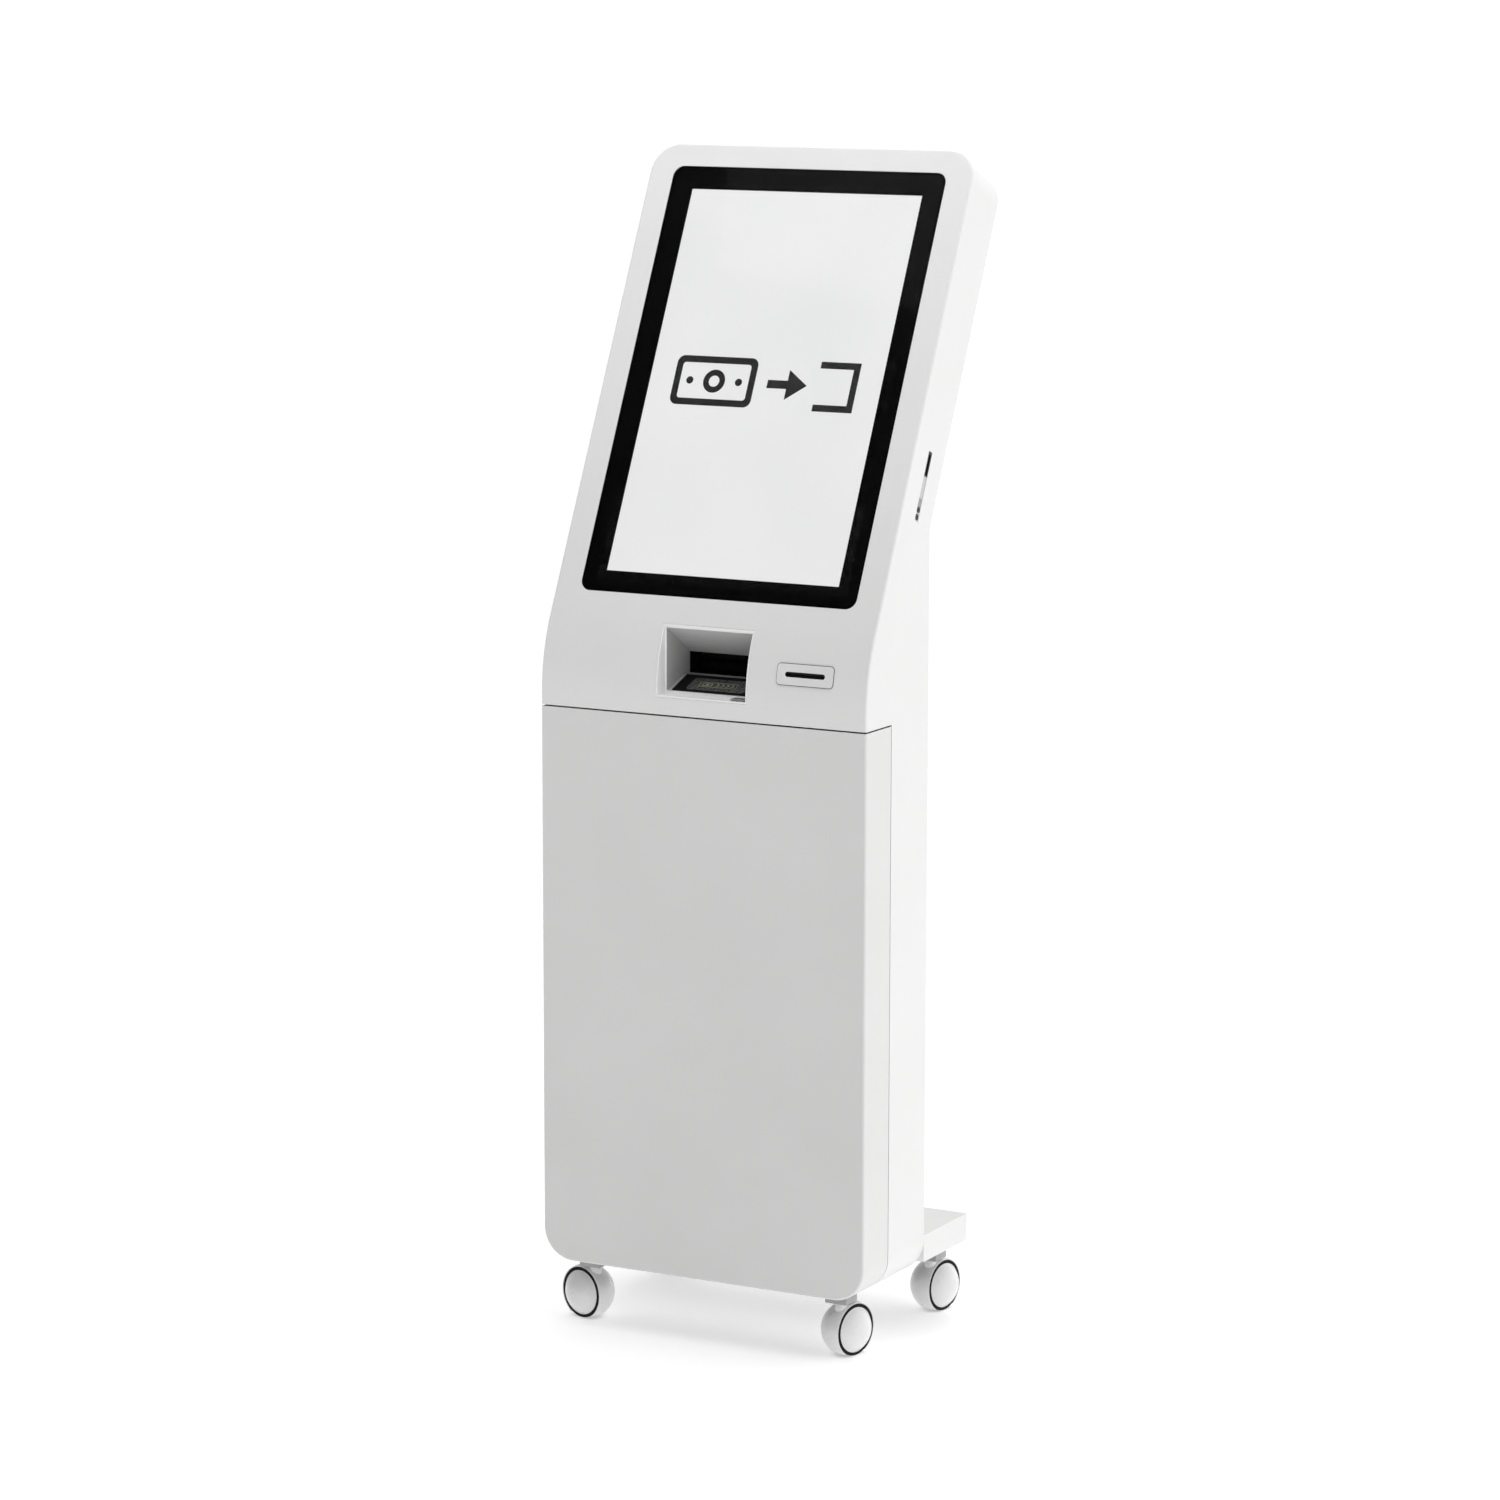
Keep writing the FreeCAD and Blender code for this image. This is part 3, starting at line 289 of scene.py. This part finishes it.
def lathe(name, profile, matrix, count=64, closed=True):
    """A turned part: a profile of (place along X, radius) spun about the X axis."""
    form = bmesh.new()
    rings = []
    for along, radius in profile:
        if radius < 1e-7:
            rings.append([form.verts.new((along, 0, 0))])
        else:
            rings.append([form.verts.new((along, radius * math.cos(math.tau * k / count),
                                          radius * math.sin(math.tau * k / count))) for k in range(count)])
    pairs = list(zip(rings, rings[1:]))
    if closed and len(rings[0]) > 1 and len(rings[-1]) > 1:
        pairs.append((rings[-1], rings[0]))
    for first, second in pairs:
        for k in range(count):
            corners = [first[k % len(first)], first[(k + 1) % len(first)],
                       second[(k + 1) % len(second)], second[k % len(second)]]
            corners = list(dict.fromkeys(corners))
            if len(corners) > 2:
                form.faces.new(corners)
    return finished(form, name, matrix)


def block(name, low, high, edge, matrix, segments=3):
    """A block with rounded edges."""
    form = bmesh.new()
    bmesh.ops.create_cube(form, size=1)
    size = [b - a for a, b in zip(low, high)]
    middle = [(a + b) / 2 for a, b in zip(low, high)]
    bmesh.ops.scale(form, vec=size, verts=form.verts)
    bmesh.ops.translate(form, vec=middle, verts=form.verts)
    bmesh.ops.bevel(form, geom=form.edges, offset=edge, segments=segments, profile=0.5, affect="EDGES")
    return finished(form, name, matrix)


def joined(name, meshes):
    """Several meshes as one."""
    form = bmesh.new()
    for mesh in meshes:
        form.from_mesh(mesh)
        bpy.data.meshes.remove(mesh)
    mesh = bpy.data.meshes.new(name)
    form.to_mesh(mesh)
    form.free()
    return mesh


def arc(centre, radius, start, end, steps):
    """Points of an arc in a profile, angles in degrees."""
    return [(centre[0] + radius * math.cos(math.radians(start + (end - start) * k / steps)),
             centre[1] + radius * math.sin(math.radians(start + (end - start) * k / steps)))
            for k in range(steps + 1)]


SHELL_LOW, SHELL_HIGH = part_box("cabinet_shell")
FRONT = SHELL_LOW.y
HALF_WIDE = SHELL_HIGH.x
KINK_Z = 0.8695                    # where the leaning face's plane meets the upright front plane
HEAD_BACK = Vector(JOINTS["fan_spin"]["axis"])


def frame_at(origin, back):
    """Axes of a leaning face: X across, Y into it, Z up along it."""
    across = Vector((1, 0, 0))
    rotation = Matrix((across, back, across.cross(back))).transposed().to_4x4()
    return Matrix.Translation(origin) @ rotation


HEAD = frame_at(Vector((0, FRONT, KINK_Z)), HEAD_BACK)

# ---------------------------------------------------------------- casters

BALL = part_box("front_left_caster_tyre")[1].z / 2
TYRE_GAP = 0.4 * MM
HOOD_WALL = 2.6 * MM
BORE = BALL + TYRE_GAP
HOOD = BORE + HOOD_WALL            # the hood is a ball of this radius about the hub
HOOD_EDGE = 11 * MM                # where the hood stops, out along the axle
HOOD_FOOT = 4.5 * MM               # the hood's clearance above the floor
WEB_HALF = 2.5 * MM
AXLE_HOLE = 3.1 * MM
AXLE = 3 * MM
TYRE_IN, TYRE_OUT = 2.8 * MM, 10.7 * MM
TYRE_DEEP = 4.1 * MM
RIM = BALL - TYRE_DEEP
DOME = 15 * MM                     # how far the wheel's face bulges out
SOCKET = 4.2 * MM                  # radius of the block's bore for the stem


def tyre_profile():
    """A tyre with soft shoulders and two fine grooves round its tread."""
    soft = 0.7 * MM
    groove = 0.35 * MM
    tread = arc((TYRE_IN + soft, BALL - soft), soft, 180, 90, 5)
    groove_places = (0.36, 0.68)
    for share in groove_places:
        middle = TYRE_IN + (TYRE_OUT - TYRE_IN) * share
        tread += [(middle - groove, BALL), (middle - groove / 2, BALL - groove),
                  (middle + groove / 2, BALL - groove), (middle + groove, BALL)]
    tread += arc((TYRE_OUT - soft, BALL - soft), soft, 90, 0, 5)
    return [(TYRE_IN, RIM)] + tread + [(TYRE_OUT, RIM)]


def wheel_profile():
    """A wheel: a rivet and axle, its rim under the tyre, a small lip and a domed face with a shallow ring."""
    lip = 0.35 * MM
    start = RIM - lip
    ball = (start ** 2 + DOME ** 2) / (2 * DOME)
    centre = TYRE_OUT + DOME - ball
    steps = 36
    rivet_back, rivet, soft = 4.8 * MM, 5 * MM, 0.8 * MM
    ring_in, ring_out, ring_deep = 4.4 * MM, 5.2 * MM, 0.2 * MM
    profile = [(-rivet_back, 0)] + arc((-rivet_back + soft, rivet - soft), soft, 180, 90, 4)
    profile += [(-TYRE_IN, rivet), (-TYRE_IN, AXLE), (TYRE_IN, AXLE), (TYRE_IN, RIM), (TYRE_OUT, RIM)]
    profile += arc((TYRE_OUT, RIM - lip), lip, 90, 0, 3)[1:]
    for k in range(1, steps + 1):
        radius = start * (1 - k / steps)
        along = centre + math.sqrt(max(ball ** 2 - radius ** 2, 0))
        if ring_in < radius < ring_out:
            along -= ring_deep
        profile.append((along, radius))
    return profile


def hood_mesh(matrix):
    """A ball-shaped hood: a well for the wheel, a thin web, and a hollow back that is open at its foot."""
    edge = 0.3 * MM
    rim_angle = math.degrees(math.asin((HOOD_EDGE - edge) / HOOD))
    back_angle = math.degrees(math.asin(WEB_HALF / BORE))
    corner = HOOD * math.cos(math.radians(rim_angle)) - edge
    profile = arc((0, 0), HOOD, 180, 90 - rim_angle, 60)
    profile += [(HOOD_EDGE, corner), (HOOD_EDGE, BORE + edge), (HOOD_EDGE - edge, BORE), (WEB_HALF, BORE),
                (WEB_HALF, AXLE_HOLE), (-WEB_HALF, AXLE_HOLE)]
    profile += arc((0, 0), BORE, 90 + back_angle, 180, 40)
    drum = lathe("drum", profile, Matrix.Identity(4), 128, closed=False)
    form = bmesh.new()
    form.from_mesh(drum)
    bpy.data.meshes.remove(drum)
    bmesh.ops.bisect_plane(form, geom=form.verts[:] + form.edges[:] + form.faces[:],
                           plane_co=(0, 0, HOOD_FOOT - BALL), plane_no=(0, 0, -1), clear_outer=True)
    return finished(form, "hood", matrix)


def neck_mesh(stem, hub, foot, upright):
    """The turned neck and steel stem above the hood; its foot follows the hood's ball."""
    seat = 60 * MM                 # any height inside the hood: the foot's points are moved onto its ball
    neck, edge = 8 * MM, 0.4 * MM
    pin, tip, tall = 4 * MM, MM, 18 * MM
    top = foot - 0.4 * MM
    profile = [(seat, 0), (seat, neck), (top - 0.5 * MM, neck), (top, neck - edge), (top, pin),
               (foot + tall - tip, pin), (foot + tall, pin - tip), (foot + tall, 0)]
    mesh = lathe("stem", profile, upright, 48)
    inside = (HOOD + BORE) / 2
    for vertex in mesh.vertices:
        if vertex.co.z < seat + MM:
            away = (vertex.co.xy - hub.xy).length
            vertex.co.z = hub.z + math.sqrt(inside ** 2 - away ** 2)
    return mesh


def mount_block(corner, foot):
    """The grey block that holds the stem: soft edges and a shallow collar round the stem."""
    low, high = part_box(f"{corner}_caster_plate")
    centre = (low + high) / 2
    stands_out, edge, overlap = 0.6 * MM, 0.8 * MM, 1.2 * MM
    body = block("block", (low.x, low.y, foot + stands_out), high, edge, Matrix.Identity(4))
    wide, wide_foot, slope = 11.2 * MM, 10.5 * MM, 0.4 * MM
    profile = [(foot, SOCKET), (foot, wide_foot), (foot + slope, wide), (foot + overlap, wide),
               (foot + overlap, SOCKET)]
    upright = Matrix.Translation((centre.x, centre.y, 0)) @ Matrix.Rotation(-math.pi / 2, 4, "Y")
    collar = lathe("collar", profile, upright)
    made = put(f"{corner}_caster_block", joined("block", [body, collar]), "caster_grey", "cabinet")
    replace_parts(made, f"{corner}_caster_plate")


def caster(corner):
    """One hooded ball caster, drawn about its hub with the wheel towards +X, then turned to its place."""
    stem = Vector(JOINTS[f"{corner}_swivel"]["pos_m"])
    hub = Vector(JOINTS[f"{corner}_roll"]["pos_m"])
    tyre_low, tyre_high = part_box(f"{corner}_caster_tyre")
    outward = ((tyre_low + tyre_high) / 2 - hub).xy
    at_hub = Matrix.Translation(hub) @ Matrix.Rotation(math.atan2(outward.y, outward.x), 4, "Z")
    swivel, wheel = f"{corner}_swivel", f"{corner}_wheel"

    tread = lathe("tread", tyre_profile(), at_hub, 96)
    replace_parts(put(f"{corner}_caster_tread", tread, "tyre_black", wheel), f"{corner}_caster_tyre")
    disc = lathe("disc", wheel_profile(), at_hub, 96)
    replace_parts(put(f"{corner}_caster_disc", disc, "caster_white", wheel), f"{corner}_caster_wheel")
    shroud = put(f"{corner}_caster_shroud", hood_mesh(at_hub), "caster_white", swivel)
    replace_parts(shroud, f"{corner}_caster_hood")
    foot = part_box(f"{corner}_caster_plate")[0].z
    upright = Matrix.Translation((stem.x, stem.y, 0)) @ Matrix.Rotation(-math.pi / 2, 4, "Y")
    put(f"{corner}_caster_stem", neck_mesh(stem, hub, foot, upright), "caster_white", swivel)
    mount_block(corner, foot)


for corner in ("front_left", "front_right", "rear_left", "rear_right"):
    caster(corner)

# ---------------------------------------------------------------- screen sign

# In millimetres: the ends of the lit view along the leaning face, and the sign's depth behind that face.
VIEW_LOW, VIEW_HIGH = 114.2, 631.1
VIEW_MIDDLE = (VIEW_LOW + VIEW_HIGH) / 2
SIGN_FRONT, SIGN_BACK, SIGN_EDGE = 5.05, 5.28, 0.03


def flat_piece(name, outlines, front, back, edge, matrix, slot, finish=None, body="cabinet", middle=(0, 0)):
    """A flat plate with outlines given in millimetres about a middle, its thickness from front to back."""
    placed = [[((x + middle[0]) * MM, (z + middle[1]) * MM) for x, z in outline] for outline in outlines]
    return put(name, plate(name, placed, front * MM, back * MM, edge * MM, matrix), slot, body, finish)


def sign(name, outlines):
    """A flat black sign on the display."""
    flat_piece(name, outlines, SIGN_FRONT, SIGN_BACK, SIGN_EDGE, HEAD, "screen_mask", "ink",
               middle=(0, VIEW_MIDDLE))


sign("sign_banknote", [round_outline(-130, -33, -14, 33, 10), round_outline(-121, -24, -23, 24, 4)])
sign("sign_note_disc", [disc_outline(-72, 0, 15.5), disc_outline(-72, 0, 7.5)])
sign("sign_note_dot_left", [disc_outline(-107, 0, 5)])
sign("sign_note_dot_right", [disc_outline(-37, 0, 5)])
sign("sign_arrow", [[(4, -5.5), (32, -5.5), (32, -20), (60, 0), (32, 20), (32, 5.5), (4, 5.5)]])
sign("sign_slot", [[(74, -33), (130, -33), (130, 33), (74, 33), (74, 24), (121, 24), (121, -24), (74, -24)]])

# ---------------------------------------------------------------- cash pocket and card slot

# The pocket's floor, in millimetres: it rises from the collar to the slot at the back, with a plate on it.
POCKET_LOW, LINER_WALL, SLOT_LOW = 827, 2.5, 845
SLOPE_START, SLOPE_END, FLOOR_START = 21, 64, 24
FLOOR_PLATE = 1.2
POCKET_SLOPE = math.atan((SLOT_LOW - POCKET_LOW - LINER_WALL) / (SLOPE_END - SLOPE_START))
PLATE_TOP = (POCKET_LOW + LINER_WALL + (FLOOR_START - SLOPE_START) * math.tan(POCKET_SLOPE)
             + FLOOR_PLATE / math.cos(POCKET_SLOPE))
POCKET = frame_at(Vector((0, FRONT + FLOOR_START * MM, PLATE_TOP * MM)),
                  Vector((0, math.sin(POCKET_SLOPE), -math.cos(POCKET_SLOPE))))


def label_mark(name, outlines):
    """A thin pale line drawn on the pocket's label."""
    flat_piece(name, outlines, -0.6, -0.4, 0.03, POCKET, "grey_plastic", "label_line")


flat_piece("pocket_tray", [round_outline(-37, 3, 45, 33, 5), round_outline(-31, 8, 39, 28, 3)], -0.7, 0, 0.15,
           POCKET, "grey_plastic", "smoked")
flat_piece("pocket_tray_bed", [round_outline(-31.3, 7.7, 39.3, 28.3, 3.2)], -0.25, 0, 0.05, POCKET,
           "grey_plastic", "smoked")
flat_piece("pocket_label", [round_outline(-25, 11, 30, 25, 1.5)], -0.45, -0.2, 0.05, POCKET, "black_plastic",
           "label_dark")
label_mark("pocket_label_rim",
           [round_outline(-24, 12, 29, 24, 1.2), round_outline(-23.2, 12.8, 28.2, 23.2, 0.8)])
label_mark("pocket_label_note",
           [round_outline(-20, 14.6, -6, 21.4, 1), round_outline(-18.9, 15.7, -7.1, 20.3, 0.5)])
label_mark("pocket_label_disc", [disc_outline(-13, 18, 1.7)])
for k in range(4):
    left = -1 + 7 * k
    label_mark(f"pocket_label_chevron_{k}",
               [[(left, 14.4), (left + 3.6, 18), (left, 21.6),
                 (left + 1.9, 21.6), (left + 5.5, 18), (left + 1.9, 14.4)]])

LEDGE_HIGH = 829 * MM
LEDGE = Matrix.Translation((0, FRONT, LEDGE_HIGH)) @ Matrix.Rotation(-math.pi / 2, 4, "X")
# Grey patches on the ledge's right end: painted shadow cast by the pocket's right wall, not a sensor.
flat_piece("pocket_hand_sensor", [round_outline(39, 3, 60, 17, 1.5)], -0.5, 0, 0.12, LEDGE, "grey_plastic",
           "seam_mid")
flat_piece("pocket_ledge_painted_shadow_core", [round_outline(41.5, 5.5, 57.5, 14.5, 1)], -0.7, -0.3, 0.08, LEDGE,
           "grey_plastic", "seam_grey")

# The card slot sits on the bend between the upright door and the leaning head, and leans less than the head.
BEND = 220 * MM
CARD_X, CARD_Z = 143.5 * MM, 866 * MM
BEND_LOW = KINK_Z - BEND * math.tan(math.atan2(-HEAD_BACK.z, HEAD_BACK.y) / 2)
CARD_LEAN = math.asin((CARD_Z - BEND_LOW) / BEND)
CARD = frame_at(Vector((CARD_X, FRONT + BEND * (1 - math.cos(CARD_LEAN)), CARD_Z)),
                Vector((0, math.cos(CARD_LEAN), -math.sin(CARD_LEAN))))
CARD_MOUTH = round_outline(-27.5, -3.25, 27.5, 3.25, 3.2)
bezel = flat_piece("card_mouth_plate", [round_outline(-38.75, -13, 38.75, 13, 4.5), CARD_MOUTH],
                   -1.2, 0, 0.45, CARD, "bezel_plastic")
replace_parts(bezel, "card_bezel")
# A dark grey ring round the bezel: painted contact shadow between the bezel and the door.
flat_piece("card_mouth_shadow_ring",
           [round_outline(-39.6, -13.85, 39.6, 13.85, 5.3), round_outline(-37, -11.3, 37, 11.3, 3)],
           -0.35, 0.1, 0.1, CARD, "grey_plastic", "seam_grey")
flat_piece("card_throat", [[(-29.5, -4.75), (29.5, -4.75), (29.5, 4.75), (-29.5, 4.75)], CARD_MOUTH],
           -0.7, 5.9, 0.2, CARD, "black_plastic")
flat_piece("card_throat_back", [round_outline(-28.5, -4, 28.5, 4, 1), round_outline(-27, -0.6, 27, 0.6, 0.5)],
           4.4, 5.9, 0.1, CARD, "black_plastic", "ink")

# ---------------------------------------------------------------- strip in the right side of the head

port_low, port_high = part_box("side_port_plate")
STRIP_MIDDLE = HEAD.inverted() @ ((port_low + port_high) / 2)
STRIP = HEAD @ Matrix.Translation((HALF_WIDE, 0, 0)) @ Matrix.Rotation(math.pi / 2, 4, "Z")


def strip_piece(name, outlines, sunk, finish):
    """A thin piece on the strip; its outlines are about the strip's middle, across it and up the head."""
    flat_piece(name, outlines, sunk, 0.6, 0.08, STRIP, "black_plastic", finish,
               middle=(STRIP_MIDDLE.y / MM, STRIP_MIDDLE.z / MM))


strip_piece("side_slot_rim",
            [round_outline(-4.6, 13.2, 4.6, 45.3, 1.2), round_outline(-2.5, 15, 2.5, 41.5, 0.5)],
            0.05, "ink")
strip_piece("side_window", [round_outline(-3.9, -27.5, 3.9, -16, 1.2)], 0.2, "seam_mid")
for spot, up in (("upper", -30.5), ("lower", -40)):
    strip_piece(f"side_button_ring_{spot}", [disc_outline(0, up, 3.9), disc_outline(0, up, 2.5)], 0.15, "ink")

# ---------------------------------------------------------------- screws on the rear covers


SCREW_HEAD = 3.8 * MM


def screw_mesh(matrix):
    """A domed screw head with a hexagonal socket; its seat is at y = 0 and the head stands out along +Y."""
    flat, tall = 0.3 * MM, 2 * MM
    crown = 2 * MM                 # radius at which the dome has reached its height
    socket, deep, chamfer = 1.45 * MM, 1.3 * MM, 0.15 * MM
    middle, margin, near = 0.5 * MM, 0.2 * MM, 0.01 * MM
    dome = [math.pi / 12 * k for k in range(1, 7)]
    profile = [(0, 0), (0, SCREW_HEAD), (flat, SCREW_HEAD)]
    profile += [(flat + (tall - flat) * math.sin(a), SCREW_HEAD - (SCREW_HEAD - crown) * (1 - math.cos(a)))
                for a in dome]
    profile += [(tall, socket + chamfer), (tall - chamfer, socket), (tall - deep, socket),
                (tall - deep - flat, 0)]
    turned = lathe("screw", profile, Matrix.Identity(4), 48)
    for vertex in turned.vertices:
        radius = math.hypot(vertex.co.y, vertex.co.z)
        if vertex.co.x > tall - deep - near and middle < radius < socket + margin:
            angle = math.atan2(vertex.co.z, vertex.co.y) % (math.pi / 3) - math.pi / 6
            stretch = math.cos(math.pi / 6) / math.cos(angle)
            vertex.co.y *= stretch
            vertex.co.z *= stretch
    turned.transform(matrix @ Matrix.Rotation(math.pi / 2, 4, "Z"))
    return turned


def cover_screws(name, node, matrix, half_wide, low, high, face):
    """Four screws at a cover's corners."""
    heads = [screw_mesh(matrix @ Matrix.Translation((x, face, z)))
             for x in (-half_wide, half_wide) for z in (low, high)]
    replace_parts(put(name, joined(name, heads), "screw_steel", "cabinet", smooth=35), node)


low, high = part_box("rear_panel_screws")
cover_screws("rear_panel_fixings", "rear_panel_screws", Matrix.Identity(4), high.x - SCREW_HEAD,
             low.z + SCREW_HEAD, high.z - SCREW_HEAD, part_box("rear_panel")[1].y)
HEAD_THICK, COVER_THICK = 93.1 * MM, 1.5 * MM
low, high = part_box("head_cover_screws")
bottom = (HEAD.inverted() @ Vector((0, low.y, low.z))).z
top = (HEAD.inverted() @ Vector((0, high.y, high.z))).z
cover_screws("head_cover_fixings", "head_cover_screws", HEAD, high.x - SCREW_HEAD,
             bottom + SCREW_HEAD, top - SCREW_HEAD, HEAD_THICK + COVER_THICK)

# ---------------------------------------------------------------- behind the door

LOCK_Z = 670                       # height of the cash box's lock, in millimetres
BOX_FRONT = Matrix.Translation((0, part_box("cash_box")[0].y, 0))
flat_piece("cash_box_plate",
           [round_outline(-50, LOCK_Z - 30, 50, LOCK_Z + 30, 4), disc_outline(0, LOCK_Z, 9)],
           -1.2, 0, 0.3, BOX_FRONT, "zinc_steel")
lock = [(0, 0), (0, 8.8 * MM), (2.6 * MM, 8.8 * MM), (3.2 * MM, 8.2 * MM), (3.2 * MM, 5.2 * MM),
        (2.4 * MM, 4.8 * MM), (2.4 * MM, 0)]
lock_place = BOX_FRONT @ Matrix.Translation((0, 0, LOCK_Z * MM)) @ Matrix.Rotation(-math.pi / 2, 4, "Z")
put("cash_box_lock", lathe("lock", lock, lock_place, 48), "screw_steel", "cash_box")
supply_low, supply_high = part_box("power_supply")
GRILLE = Matrix.Translation(((supply_low.x + supply_high.x) / 2, supply_low.y,
                             (supply_low.z + supply_high.z) / 2))
GRILLE_SLOTS, SLOT_PITCH, SLOT_WIDE = 12, 8, 4
slots = [round_outline(-46 + SLOT_PITCH * k, -16, -46 + SLOT_PITCH * k + SLOT_WIDE, 16, 1.9)
         for k in range(GRILLE_SLOTS)]
flat_piece("supply_grille", [round_outline(-52, -21, 52, 21, 3)] + slots, -1.2, 0, 0.2, GRILLE, "zinc_steel")

# ---------------------------------------------------------------- floor, light and camera

FLOOR_RADIUS = 150
floor_mesh = bpy.data.meshes.new("floor")
floor_form = bmesh.new()
bmesh.ops.create_circle(floor_form, cap_ends=True, segments=96, radius=FLOOR_RADIUS)
floor_form.to_mesh(floor_mesh)
floor_form.free()
floor_mesh.materials.append(surface("floor_white", grey(0.86), grey(0.87), (0.75, 0.85), 0.5, 60, 0.05,
                                    Emission_Color=(1, 1, 1, 1), Emission_Strength=0.38))
floor = bpy.data.objects.new("floor", floor_mesh)
bpy.context.scene.collection.objects.link(floor)


def softbox(name, place, target, size, power):
    """A rectangular light of a size in metres and a power in watts, turned towards its target."""
    light = bpy.data.lights.new(name, "AREA")
    light.shape = "RECTANGLE"
    light.size, light.size_y = size
    light.energy = power
    obj = bpy.data.objects.new(name, light)
    obj.location = place
    obj.rotation_euler = (Vector(target) - Vector(place)).to_track_quat("-Z", "Y").to_euler()
    bpy.context.scene.collection.objects.link(obj)
    return obj


softbox("overhead", (-0.2, -0.7, 2.9), (0, 0.1, 1.4), (1.4, 1.4), 15)
softbox("key_right", (3.4, -0.6, 2.2), (0, 0, 0.8), (2.0, 2.4), 5)

# The studio's walls are brighter behind the machine and to its right than in front of it and to its left.
SKY_LEVEL, SKY_RIGHT, SKY_BACK, SKY_LEAST = 0.74, 0.36, 0.58, 0.05


def weighted(tree, source, share, rest):
    """The source times its share, plus the rest."""
    total = tree.nodes.new("ShaderNodeMath")
    total.operation = "MULTIPLY_ADD"
    tree.links.new(source, total.inputs[0])
    total.inputs[1].default_value = share
    if isinstance(rest, float):
        total.inputs[2].default_value = rest
    else:
        tree.links.new(rest, total.inputs[2])
    return total.outputs["Value"]


def studio_world():
    """White walls whose strength follows the way they lie in."""
    world = bpy.data.worlds.new("studio")
    world.use_nodes = True
    tree = world.node_tree
    ways = tree.nodes.new("ShaderNodeTexCoord")
    split = tree.nodes.new("ShaderNodeSeparateXYZ")
    tree.links.new(ways.outputs["Generated"], split.inputs["Vector"])
    along = weighted(tree, split.outputs["Y"], SKY_BACK, SKY_LEVEL)
    least = tree.nodes.new("ShaderNodeMath")
    least.operation = "MAXIMUM"
    tree.links.new(weighted(tree, split.outputs["X"], SKY_RIGHT, along), least.inputs[0])
    least.inputs[1].default_value = SKY_LEAST
    tree.links.new(least.outputs["Value"], tree.nodes["Background"].inputs["Strength"])
    tree.nodes["Background"].inputs["Color"].default_value = (1, 1, 1, 1)
    return world


bpy.context.scene.world = studio_world()
bpy.context.scene.view_settings.view_transform = "Standard"

CAMERA_PLACE = (2.8984, -5.4001, 1.76645)
camera_data = bpy.data.cameras.new("camera")
camera_data.lens = 117.166
camera_data.sensor_width = 36
camera_data.clip_end = 400
camera = bpy.data.objects.new("camera", camera_data)
YAW, PITCH, ROLL = math.radians(28.49), math.radians(9.55), math.radians(0.11)
ahead = Vector((-math.sin(YAW) * math.cos(PITCH), math.cos(YAW) * math.cos(PITCH), -math.sin(PITCH)))
level = ahead.cross(Vector((0, 0, 1))).normalized()
above = level.cross(ahead)
right = level * math.cos(ROLL) + above * math.sin(ROLL)
upward = right.cross(ahead)
camera.matrix_world = (Matrix.Translation(CAMERA_PLACE)
                       @ Matrix((right, upward, -ahead)).transposed().to_4x4())
bpy.context.scene.collection.objects.link(camera)
bpy.context.scene.camera = camera
